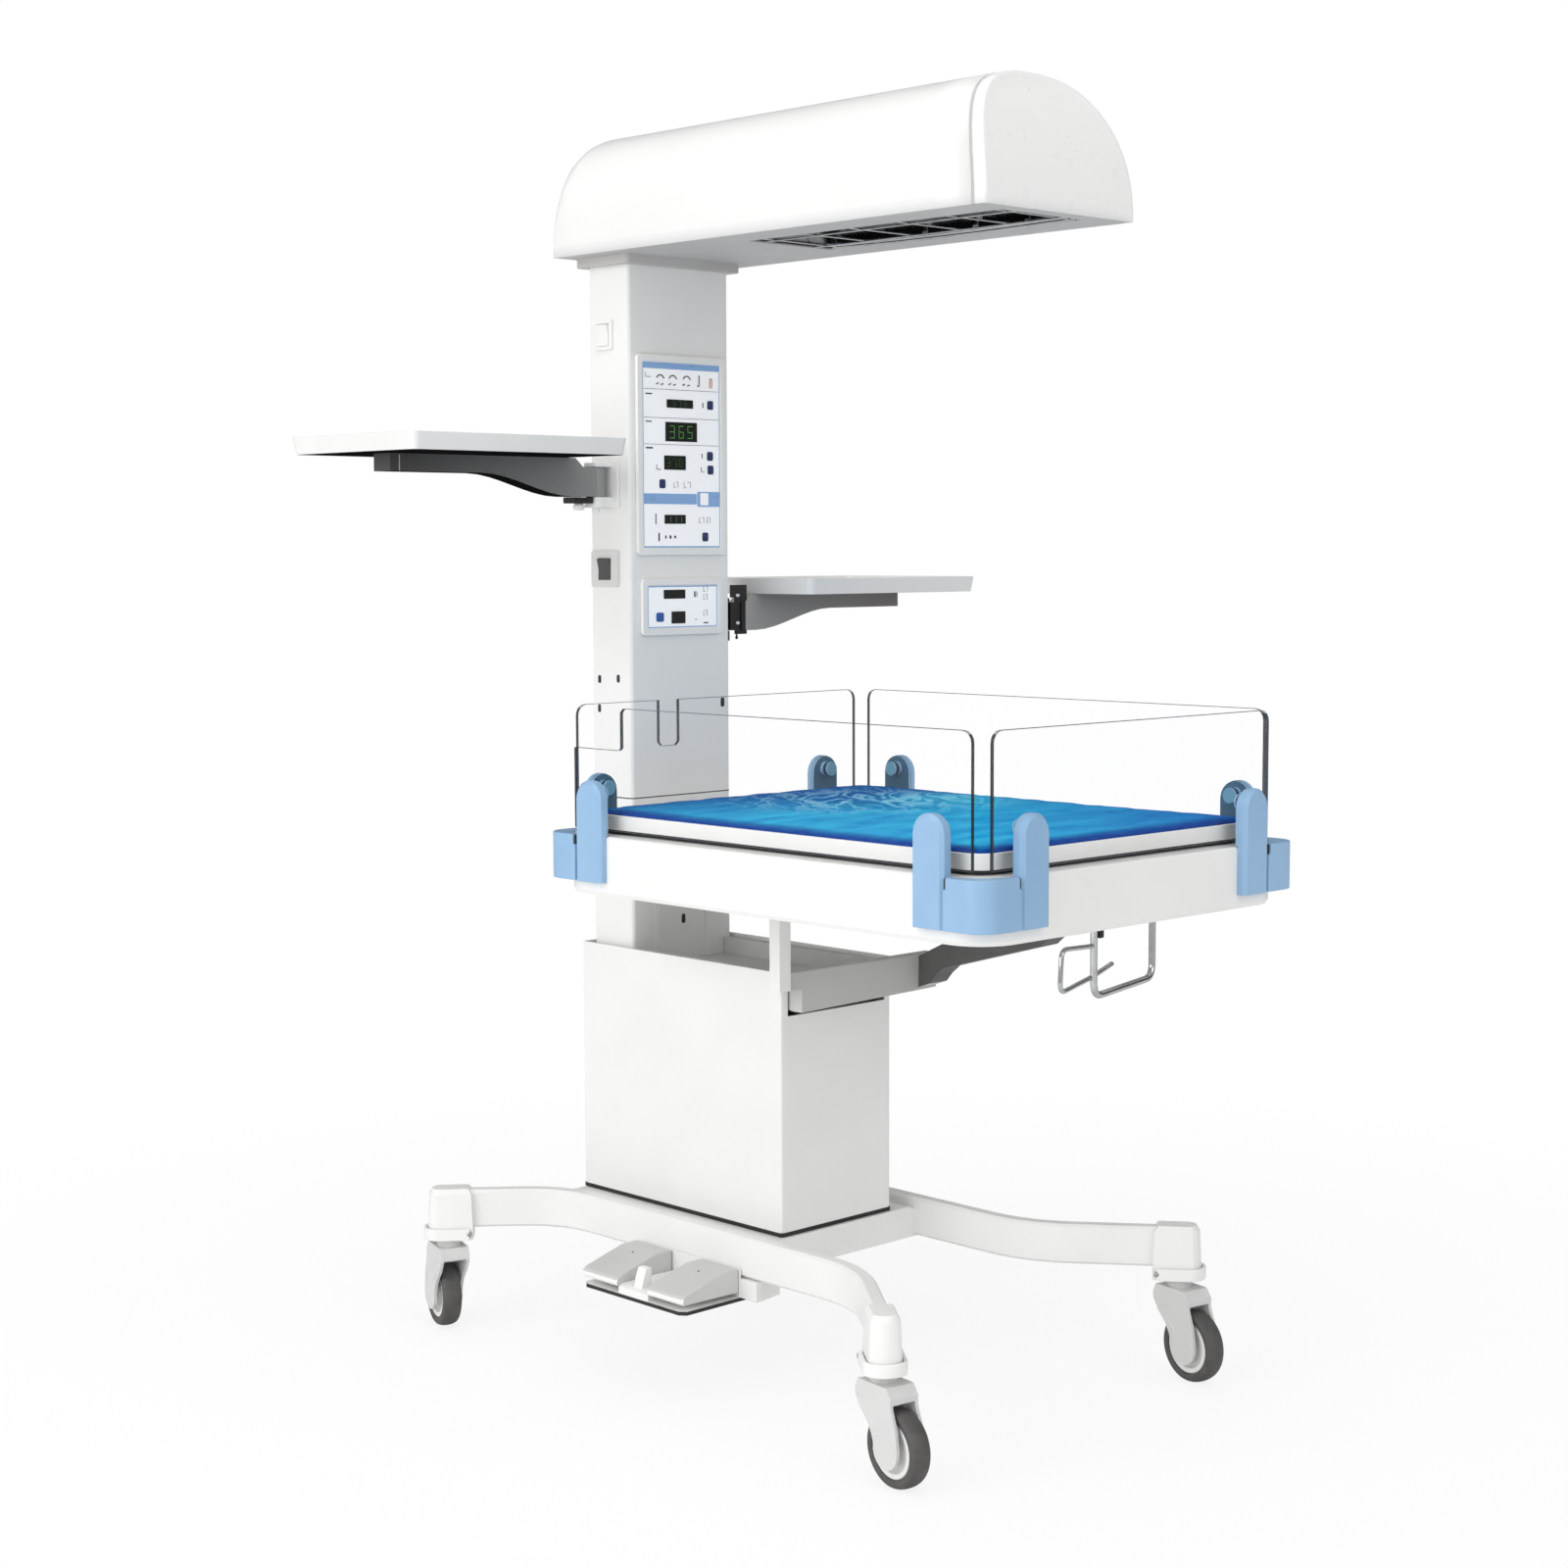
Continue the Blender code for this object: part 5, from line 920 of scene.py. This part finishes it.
# Matt black paint: swallows light, without any gloss.
matt_black = coated(
    "matt_black_paint", "#101010", "#171717", 0.70, 1.8, constants={"Specular IOR Level": 0.0},
)
skin("heater_reflector", "bright_reflector", bright, 0.0)
skin("heater_element", "quartz_element", quartz, 0.0)
guard_low, guard_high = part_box("heater_guard")
GUARD_LONG = guard_high.y - guard_low.y
wires = []
for t in (0.04, 0.22, 0.41, 0.60, 0.79, 0.96):
    y = guard_low.y + GUARD_LONG * t
    wires.append([(guard_low.x, y, HOOD_Z + 0.0030), (guard_high.x, y, HOOD_Z + 0.0030)])
for x in (-0.6 * guard_high.x, 0.6 * guard_high.x):
    wires.append([(x, guard_low.y, HOOD_Z + 0.0016), (x, guard_high.y, HOOD_Z + 0.0016)])
guard = bars("chromed_heater_guard", wires, 0.0013, chrome, "column")
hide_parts("heater_guard")
RAIL_SAG = 0.0030
rails = []
for share, up in ((0.96, 0.0030), (0.80, 0.0052)):
    rail = []
    for k in range(13):
        t = k / 12
        y = guard_low.y + GUARD_LONG * (0.02 + 0.96 * t)
        rail.append((share * guard_high.x, y, HOOD_Z + up - RAIL_SAG * math.sin(math.pi * t)))
    rails.append(rail)
bars("bright_reflector_rails", rails, 0.0026, chrome, "column", 12)
bm = bmesh.new()
for t in (0.10, 0.30, 0.50, 0.70, 0.88):
    y = guard_low.y + GUARD_LONG * t
    box_in(bm, (guard_high.x - 0.0022, y, HOOD_Z + 0.0120), (0.0016, 0.0860, 0.0100))
finished("reflector_slots", bm, matt_black, "column", smooth=False)

# Shelves: a light grey pressed tray, dark below, on a cast arm that swings on the pin of a column bracket.
# The left bracket is white, with a black clamp and a white knob under the arm.
# The right one is black, and a black hinge leaf with two pale screws hides it and turns with the arm.
pins = {hand: Vector(joints["shelf_%s_swing" % hand]["pos_m"]) for hand in ("left", "right")}
ARM_LONG = 0.42
KNUCKLE = 0.041


def arm_paint(hand, near, far):
    """Grey paint on a cast arm, with painted shade that darkens it towards its free end; the right arm's
    knuckle is black.
    """
    paint = coated("grey_cast_arm_paint_" + hand, near, near, 0.34, 1.8, 0.08)
    tree = paint.node_tree
    start = pins[hand].x
    place = add_node(tree, "ShaderNodeTexCoord").outputs["Object"]
    along = add_node(tree, "ShaderNodeSeparateXYZ", {0: place}).outputs[0]
    end = start + math.copysign(ARM_LONG, start)
    grade = add_node(
        tree, "ShaderNodeMapRange", {0: along, 1: start, 2: end, 3: 0.0, 4: 1.0},
    ).outputs[0]
    painted_shade = add_node(
        tree, "ShaderNodeMix", {0: grade, 6: srgb(near), 7: srgb(far)}, data_type="RGBA",
    ).outputs[2]
    if hand == "right":
        knuckle = add_node(
            tree, "ShaderNodeMath", {0: along, 1: start + KNUCKLE}, operation="LESS_THAN",
        ).outputs[0]
        painted_shade = add_node(
            tree, "ShaderNodeMix", {0: knuckle, 6: painted_shade, 7: srgb("#161616")}, data_type="RGBA",
        ).outputs[2]
    tree.links.new(painted_shade, tree.nodes["Principled BSDF"].inputs["Base Color"])
    return paint


# Tray coat: pale grey powder coat, duller than the white one.
tray_grey = coated("light_grey_tray_coat", "#DEDEDD", "#E3E3E2", 0.40, 1.8)
# The left arm's colours are darker than the right's: painted shade on the same grey paint.
arm_paints = {
    "left": arm_paint("left", "#8E8E8C", "#3A3A39"), "right": arm_paint("right", "#A9A9A5", "#857F7D"),
}
for hand in ("left", "right"):
    skin(
        "shelf_tray_" + hand, "coated_shelf_tray_" + hand, [tray_grey, matt_black], 0.0009,
        choose=lambda face: 1 if face.normal.z < -0.8 else 0,
    )
    skin(
        "shelf_arm_" + hand, "cast_shelf_arm_" + hand, [arm_paints[hand], matt_black], 0.0018, 3, 22.0,
        lambda face: 1 if face.normal.z < -0.7 else 0,
    )
skin("shelf_bracket_left", "coated_bracket_left", white_coat, 0.0008)
skin("shelf_bracket_right", "black_bracket_right", black_abs_and_gap_shade, 0.0008)
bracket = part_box("shelf_bracket_left")[0]
arm_low, arm_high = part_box("shelf_arm_left")
bm = bmesh.new()
spot = (bracket.x - 0.0180, pins["left"].y, arm_low.z - 0.0055)
box_in(bm, spot, (0.0400, 0.0260, 0.0094), 0.0015, 3)
finished("left_arm_clamp", bm, black_abs_and_gap_shade, "column")
KNOB = [
    (0.0, 0.0), (0.0072, 0.0), (0.0088, 0.0012), (0.0088, 0.0070), (0.0070, 0.0084), (0.0070, 0.0104),
    (0.0, 0.0104),
]
bm = bmesh.new()
turn_solid(bm, KNOB, 32, Matrix.Translation((bracket.x - 0.0170, pins["left"].y, arm_low.z - 0.0205)))
finished("left_arm_knob", bm, white_abs, "column")
bm = bmesh.new()
box_in(bm, (arm_low.x + 0.0165, arm_low.y, arm_high.z - 0.0135), (0.0010, 0.0006, 0.0235))
finished(
    "left_arm_end_line", bm, nylon, frame["nodes"]["shelf_arm_left"]["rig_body"],
    smooth=False,
)

# Hinge leaf: a plate with two tongues, as left, right, low and high from a point on the arm's underside.
# A small nut hangs below it.
leaf_body = frame["nodes"]["shelf_arm_right"]["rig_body"]
leaf = Vector((pins["right"].x + 0.0203, pins["right"].y - 0.0169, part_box("shelf_arm_right")[0].z))
LEAF_THICK = 0.0014
LEAF = [
    (-0.0013, 0.0257, -0.0060, 0.0740), (-0.0111, -0.0008, 0.0006, 0.0455),
    (-0.0111, -0.0008, 0.0536, 0.0740),
]
NUT = [
    (0.0, 0.0), (0.0016, 0.0), (0.0022, 0.0010), (0.0022, 0.0045), (0.0013, 0.0055), (0.0013, 0.0085),
    (0.0, 0.0085),
]
SCREW = [(0.0, 0.0), (0.0042, 0.0), (0.0042, 0.0009), (0.0035, 0.0013), (0.0, 0.0014)]
bm = bmesh.new()
for x0, x1, z0, z1 in LEAF:
    middle = leaf + Vector(((x0 + x1) / 2, 0, (z0 + z1) / 2))
    box_in(bm, middle, (x1 - x0, LEAF_THICK, z1 - z0), 0.0003)
turn_solid(bm, NUT, 20, Matrix.Translation(leaf + Vector((0.0040, 0.0008, -0.0140))))
finished("right_hinge_leaf", bm, black_abs_and_gap_shade, leaf_body)
bm = bmesh.new()
for z in (0.0570, 0.0123):
    spot = leaf + Vector((0.0055, 0, z))
    place = Matrix.Translation(spot) @ Matrix.Rotation(math.radians(90), 4, "X")
    turn_solid(bm, SCREW, 24, place @ Matrix.Diagonal((1.0, 0.62, 1.0, 1.0)))
finished("right_hinge_screws", bm, nylon, leaf_body)

# Bed carrier and chassis: a grey welded steel beam, post and side arm bolted to the front of the column.
# The white pressed chassis pan lies on it, and a moulded seat ring on the pan takes the platform; the ring
# is black as painted shade of the gap under the platform.
POST_RIGHT = -0.121
POST_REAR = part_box("bed_carrier")[0].y + 0.2829
SLIM = 0.5
AHEAD = FRONT - 0.1


def carrier_part(face):
    """The upright post and the plates on the column are white, the side arm painted dark as shade, the
    rest grey.
    """
    spot = face.calc_center_median()
    if spot.x < POST_RIGHT + 0.001 and spot.y < AHEAD:
        return 1
    if spot.y > FRONT - 0.003 and 0.046 < abs(spot.x) < 0.062:
        return 1
    return 2 if spot.y < POST_REAR - 0.046 and face.normal.z < 0.5 else 0


def carrier_shape(bm):
    """Lays the two webs at the column flat against it, and slims the post to its visible size."""
    for vert in bm.verts:
        if 0.047 < abs(vert.co.x) < 0.061 and FRONT - 0.061 < vert.co.y < FRONT - 0.059:
            vert.co.y = FRONT - 0.0010
        if vert.co.x < POST_RIGHT + 0.0005 and vert.co.y < AHEAD:
            vert.co.x = POST_RIGHT + SLIM * (vert.co.x - POST_RIGHT)
            vert.co.y = POST_REAR + SLIM * (vert.co.y - POST_REAR)


# Frame paint: light grey and satin; the side arm has the same paint with its shade painted in, a dark grey
# with hardly any gloss.
carrier_grey = coated("light_grey_frame_paint", "#BDBDBB", "#C4C4C2", 0.40, 1.8)
shaded_grey = coated(
    "dark_grey_frame_shade", "#5E5E5D", "#676766", 0.45, 1.8, constants={"Specular IOR Level": 0.1},
)
skin(
    "bed_carrier", "painted_bed_carrier", [carrier_grey, white_coat, shaded_grey], choose=carrier_part,
    shape=carrier_shape,
)
skin("bed_chassis", "coated_bed_chassis", white_coat, 0.0020, 3)
# The seat ring's black is the painted shade of the gap it sits in.
skin("seat_ring", "black_seat_ring", black_abs_and_gap_shade, 0.0006)

# Corner blocks: pale blue mouldings bolted round the chassis corners, between the guard posts.
# Each has a small latch slot at both ends, which holds the guard that closes against it; the shade in each
# slot is painted as a black block.
SLOT_SHADE = (0.0040, 0.0040, 0.0146)
SLOT_SHADE_OUT = 0.0022
SLOT_SHADE_IN = 0.0042
SLOT_SHADE_DOWN = 0.0078
# Pale blue ABS: moulded, satin, of one colour with the guard posts.
blue_abs = coated("pale_blue_abs", "#8AAFD1", "#92B6D7", 0.36, 1.6, 0.07)
end_slot_shades = []
side_slot_shades = []
for end in ENDS:
    skin("corner_block_" + end, "moulded_corner_block_" + end, blue_abs, 0.0016, 3)
    low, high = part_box("corner_block_" + end)
    out_x = -1.0 if end[1] == "l" else 1.0
    out_y = -1.0 if end[0] == "f" else 1.0
    far_x, near_x = (low.x, high.x) if out_x < 0 else (high.x, low.x)
    far_y, near_y = (low.y, high.y) if out_y < 0 else (high.y, low.y)
    end_slot_shades.append((near_x + out_x * SLOT_SHADE_OUT, far_y - out_y * SLOT_SHADE_IN, high.z - SLOT_SHADE_DOWN))
    side_slot_shades.append((far_x - out_x * SLOT_SHADE_IN, near_y + out_y * SLOT_SHADE_OUT, high.z - SLOT_SHADE_DOWN))
body = frame["nodes"]["corner_block_fl"]["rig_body"]
# Black blocks in the latch slots, as painted shade.
plugs("latch_slot_shades_ends", end_slot_shades, SLOT_SHADE, black_abs_and_gap_shade, body)
plugs("latch_slot_shades_sides", side_slot_shades, SLOT_SHADE, black_abs_and_gap_shade, body)

# Mattress platform: a white moulded tray with a raised rim that keeps the mattress in place.
# It lies loose on the seat ring and tilts about its foot end.
skin("mattress_platform", "moulded_platform", white_abs, 0.0014, 3)

# Guards: clear cast acrylic sheets with polished edges, each bolted to two blue fold-down posts.
# Seen along the sheet the upright edges are nearly black and the top edge a thin grey line, a painted
# shade and reflection in their colour.
# The posts clasp the sheet with a round boss on their inner faces; those faces are in shade, painted dark
# teal, and the boss a paler painted teal.
INWARD = {"front": (0, 1, 0), "rear": (0, -1, 0), "left": (1, 0, 0), "right": (-1, 0, 0)}
bed_low, bed_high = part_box("bed_chassis")


def sheet_part(face):
    """The faces of the sheet are clear; its upright edges are painted dark and its top and bottom edges
    grey, as painted shade.
    """
    if abs(face.normal.dot(inward)) > 0.95:
        return 0
    return 2 if abs(face.normal.z) > 0.8 else 1


def post_part(face):
    """Of a post's inner faces, the ones within the guard are bosses in a paler painted shade, and those
    above the bed are in a darker painted shade.
    """
    if face.normal.dot(inward) < 0.9:
        return 0
    spot = face.calc_center_median()
    if (spot - sheet_middle).dot(inward) > 0.002:
        return 2
    return 1 if spot.z > bed_high.z + 0.001 else 0


# Cast acrylic: all but invisible, with a faint cool veil and a weak, sharp gloss.
acrylic = surface(
    "clear_cast_acrylic", "#DCE8F1", "#E8F1F8", 260.0, 0.03,
    constants={"IOR": 1.49, "Specular IOR Level": 0.2, "Alpha": 0.010},
)
# Sheet edges: light leaves the sheet elsewhere, so upright edges look dark and top edges grey; that shade
# is painted in their colour.
upright_edge = surface(
    "acrylic_upright_edge", "#10141B", "#1E2631", 120.0, 0.10, constants={"Alpha": 0.95},
)
top_edge = surface("acrylic_top_edge", "#6E7883", "#8A949E", 120.0, 0.12, constants={"Alpha": 0.7})
# Painted shade on the posts' inner faces and bosses: satin, in two shades of teal.
post_inner_shade = coated("teal_post_inner_shade", "#2F5874", "#3A657F", 0.36, 1.6, 0.08)
boss_shade = coated("pale_teal_boss_shade", "#6496AC", "#6FA1B6", 0.35, 1.6, 0.05)
sheet_plastics = [acrylic, upright_edge, top_edge]
post_plastics = [blue_abs, post_inner_shade, boss_shade]
for side in ("front", "rear", "left", "right"):
    inward = Vector(INWARD[side])
    sheet_middle = sum(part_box("guard_panel_" + side), Vector()) / 2
    skin("guard_panel_" + side, "acrylic_guard_" + side, sheet_plastics, 0.0006, 1, choose=sheet_part)
    for node in sorted(frame["nodes"]):
        if node.startswith("guard_post_" + side):
            skin(node, "moulded_" + node, post_plastics, 0.0012, 3, choose=post_part)

# Wire holder: a bent chromed rod under the foot end of the bed, with a thinner loop on its left leg.
# A black moulded clamp on the underside of the chassis holds it.
CLAMP = (
    (-0.0230, -0.0060, 0.016, 0.013), (-0.0045, 0.0030, 0.016, 0.012), (-0.0160, -0.0070, 0.012, 0.024),
)
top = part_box("wire_holder")[1].z
hang = bed_low.y + 0.067
under = bed_low.z
rod = rounded(
    [
        (-0.022, hang, top - 0.001), (-0.022, hang, under - 0.104),
        (0.138, hang + 0.026, under - 0.098), (0.138, hang + 0.026, top - 0.001),
    ],
    0.020,
)
loop = rounded(
    [
        (-0.021, hang, under - 0.034), (-0.094, hang - 0.004, under - 0.031),
        (-0.098, hang - 0.004, under - 0.090), (-0.021, hang + 0.004, under - 0.077),
        (0.034, hang + 0.014, under - 0.066),
    ],
    0.012,
)
holder = bars("chromed_wire_holder", [rod], 0.0050, chrome, "column", 14)
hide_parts("wire_holder")
bars("chromed_wire_loop", [loop], 0.0034, chrome, "column", 12)
bm = bmesh.new()
for x0, x1, deep, drop in CLAMP:
    tall = top - under + drop
    box_in(bm, ((x0 + x1) / 2, hang, top - tall / 2), (x1 - x0, deep, tall), 0.0020, 3)
finished("wire_holder_clamp", bm, black_abs_and_gap_shade, "column")

# Mattress: foam pad in a blue coated cover, lying loose and a little crinkled in the platform tray.
# The cover is a size too large for the foam, so the cloth swells and buckles, and its rim is drawn down.
VOXEL = 0.0055
CLEAR = 0.0012
MOST_MOVE = 0.006
HELD = 0.012
FRAMES = 20
low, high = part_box("mattress")
middle = (low + high) / 2
half = (high - low) / 2
bm = bmesh.new()
bm.from_mesh(frame["nodes"]["mattress"].data)
bmesh.ops.remove_doubles(bm, verts=bm.verts, dist=2e-5)
for vert in bm.verts:
    vert.co.x -= CLEAR * (vert.co.x - middle.x) / half.x
    vert.co.y -= CLEAR * (vert.co.y - middle.y) / half.y
mesh = bpy.data.meshes.new("mattress_cover")
bm.to_mesh(mesh)
bm.free()
pad = bpy.data.objects.new("mattress_cover", mesh)
scene.collection.objects.link(pad)
voxels = pad.modifiers.new("even_mesh", "REMESH")
voxels.mode = "VOXEL"
voxels.voxel_size = VOXEL
voxels.use_smooth_shade = True
graph = bpy.context.evaluated_depsgraph_get()
pad.data = bpy.data.meshes.new_from_object(pad.evaluated_get(graph))
pad.modifiers.clear()


def points_of(mesh):
    """The places of a mesh's points, as rows of x, y and z."""
    places = np.empty(len(mesh.vertices) * 3)
    mesh.vertices.foreach_get("co", places)
    return places.reshape(-1, 3)


before = points_of(pad.data)
after = before.copy()
held = pad.vertex_groups.new(name="held")
held.add([int(i) for i in np.nonzero(before[:, 2] < low.z + HELD)[0]], 1.0, "REPLACE")
cloth = pad.modifiers.new("cover", "CLOTH")
cloth.settings.quality = 4
cloth.settings.mass = 0.25
cloth.settings.tension_stiffness = 20.0
cloth.settings.compression_stiffness = 20.0
cloth.settings.shear_stiffness = 8.0
cloth.settings.bending_stiffness = 0.02
cloth.settings.use_pressure = True
cloth.settings.uniform_pressure_force = 4.0
cloth.settings.shrink_min = -0.035
cloth.settings.vertex_group_mass = "held"
cloth.settings.effector_weights.gravity = 0.0
cloth.collision_settings.use_collision = False
cloth.point_cache.frame_end = FRAMES
for step in range(1, FRAMES + 1):
    scene.frame_set(step)
graph = bpy.context.evaluated_depsgraph_get()
after = points_of(pad.evaluated_get(graph).to_mesh())
pad.evaluated_get(graph).to_mesh_clear()
pad.modifiers.clear()
scene.frame_set(1)

# The foam holds the cover back: no point moves far, and the top stays low and inside the mattress's box.
moved = after - before
reach = np.maximum(np.linalg.norm(moved, axis=1, keepdims=True), 1e-9)
moved *= np.minimum(1.0, MOST_MOVE / reach)
edge = high.z - 0.008
moved[:, 2] *= np.where(before[:, 2] > edge - 0.0035, 0.25, 1.0)
after = before + moved
after[:, 2] = np.where(after[:, 2] > edge, edge + 0.6 * (after[:, 2] - edge), after[:, 2])
after[:, 0] = np.clip(after[:, 0], low.x + 0.0002, high.x - 0.0002)
after[:, 1] = np.clip(after[:, 1], low.y + 0.0002, high.y - 0.0002)
after[:, 2] = np.clip(after[:, 2], low.z, high.z + 0.002)
pad.data.vertices.foreach_set("co", after.ravel())
pad.data.update()

# Coated cover: streaked light and deep blue, darker to the rear, to the front right and at the rim; the
# light streaks are partly a painted sheen.
# Painted highlights and painted shade along creases crinkle it towards the rear right, and a pale patch
# beside them is a painted highlight on a bulge.
cover = bpy.data.materials.new("blue_coated_cover")
cover.use_nodes = True
tree = cover.node_tree
shader = tree.nodes["Principled BSDF"]
place = add_node(tree, "ShaderNodeTexCoord").outputs["Object"]
centred = add_node(
    tree, "ShaderNodeMapping", {"Vector": place, "Location": (-middle.x, -middle.y, -high.z)},
).outputs[0]
parts = add_node(tree, "ShaderNodeSeparateXYZ", {0: centred}).outputs
flipped = add_node(tree, "ShaderNodeVectorMath", {0: centred}, operation="ABSOLUTE").outputs[0]
to_rim = add_node(
    tree, "ShaderNodeVectorMath", {0: (half.x, half.y, 0.0), 1: flipped}, operation="SUBTRACT",
).outputs[0]
rims = add_node(tree, "ShaderNodeSeparateXYZ", {0: to_rim}).outputs
from_rim = add_node(tree, "ShaderNodeMath", {0: rims[0], 1: rims[1]}, operation="MINIMUM").outputs[0]
grain = add_node(
    tree, "ShaderNodeMapping",
    {"Vector": centred, "Scale": (1.0, 3.2, 1.0), "Rotation": (0, 0, math.radians(24))},
).outputs[0]
streaks = add_node(
    tree, "ShaderNodeTexNoise", {"Vector": grain, "Scale": 1000.0 / 120.0, "Detail": 5.0},
).outputs[0]
crimp = add_node(
    tree, "ShaderNodeMapping",
    {"Vector": centred, "Scale": (1.0, 3.0, 1.0), "Rotation": (0, 0, math.radians(-44))},
    vector_type="TEXTURE",
).outputs[0]
crease = add_node(
    tree, "ShaderNodeTexNoise",
    {"Vector": crimp, "Scale": 1000.0 / 40.0, "Detail": 3.0, "Distortion": 0.8},
).outputs[0]
signed = add_node(tree, "ShaderNodeMath", {0: crease, 1: 0.5}, operation="SUBTRACT").outputs[0]
ridge = add_node(tree, "ShaderNodeMath", {0: signed}, operation="ABSOLUTE").outputs[0]
to_front_right = add_node(
    tree, "ShaderNodeMath", {0: parts[0], 1: parts[1]}, operation="SUBTRACT",
).outputs[0]
to_rear = add_node(
    tree, "ShaderNodeMath", {0: parts[0], 1: 0.5, 2: parts[1]}, operation="MULTIPLY_ADD",
).outputs[0]
from_crinkles = add_node(
    tree, "ShaderNodeVectorMath", {0: centred, 1: (0.07, 0.17, 0.0)}, operation="DISTANCE",
).outputs["Value"]
from_bulge = add_node(
    tree, "ShaderNodeVectorMath", {0: centred, 1: (0.17, 0.08, 0.0)}, operation="DISTANCE",
).outputs["Value"]
grades = {}
# Crease highlights and the bulge highlight are painted light; crease shade is painted shade.
for name, row in {
    "rim": (from_rim, 0.009, 0.040, 1.0, 0.0), "crease_highlight": (ridge, 0.020, 0.065, 1.0, 0.0),
    "crease_shade": (ridge, 0.065, 0.100, 0.0, 0.9), "crinkled": (from_crinkles, 0.06, 0.24, 0.55, 0.02),
    "front_right": (to_front_right, 0.10, 0.62, 0.0, 0.75), "rear": (to_rear, 0.02, 0.34, 0.0, 0.85),
    "bulge_highlight": (from_bulge, 0.04, 0.15, 0.8, 0.0),
}.items():
    grades[name] = add_node(tree, "ShaderNodeMapRange", dict(enumerate(row))).outputs[0]
for name in ("crease_highlight", "crease_shade"):
    grades[name] = add_node(
        tree, "ShaderNodeMath", {0: grades[name], 1: grades["crinkled"]}, operation="MULTIPLY",
    ).outputs[0]
ramp = add_node(tree, "ShaderNodeValToRGB", {0: streaks})
for stop, position, colour in zip(ramp.color_ramp.elements, (0.32, 0.68), ("#1C8CCB", "#38B8E0")):
    stop.position = position
    stop.color = srgb(colour)
blue = ramp.outputs[0]
for name, colour in (
    ("front_right", "#1457B0"), ("rear", "#0F4C9C"), ("bulge_highlight", "#45BCE2"), ("crease_shade", "#0C3F8C"),
    ("crease_highlight", "#A6DFF2"), ("rim", "#123F90"),
):
    blue = add_node(
        tree, "ShaderNodeMix", {0: grades[name], 6: blue, 7: srgb(colour)}, data_type="RGBA",
    ).outputs[2]
tree.links.new(blue, shader.inputs["Base Color"])
sheen = add_node(
    tree, "ShaderNodeTexNoise", {"Vector": place, "Scale": 1000.0 / 20.0, "Detail": 3.0},
).outputs[0]
rough = add_node(tree, "ShaderNodeMapRange", {0: sheen, 1: 0.3, 2: 0.7, 3: 0.34, 4: 0.48}).outputs[0]
tree.links.new(rough, shader.inputs["Roughness"])
# The cover's own gloss is turned off, so its sheen is only the one painted in its colour.
shader.inputs["Specular IOR Level"].default_value = 0.0
bump = add_node(tree, "ShaderNodeBump", {"Height": ridge, "Strength": 0.35, "Distance": 1.2 / 1000})
tree.links.new(bump.outputs[0], shader.inputs["Normal"])
pad.data.materials.clear()
pad.data.materials.append(cover)
for face in pad.data.polygons:
    face.use_smooth = True
finer = pad.modifiers.new("finer", "SUBSURF")
finer.levels = 1
finer.render_levels = 1
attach(pad, "platform")
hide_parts("mattress")
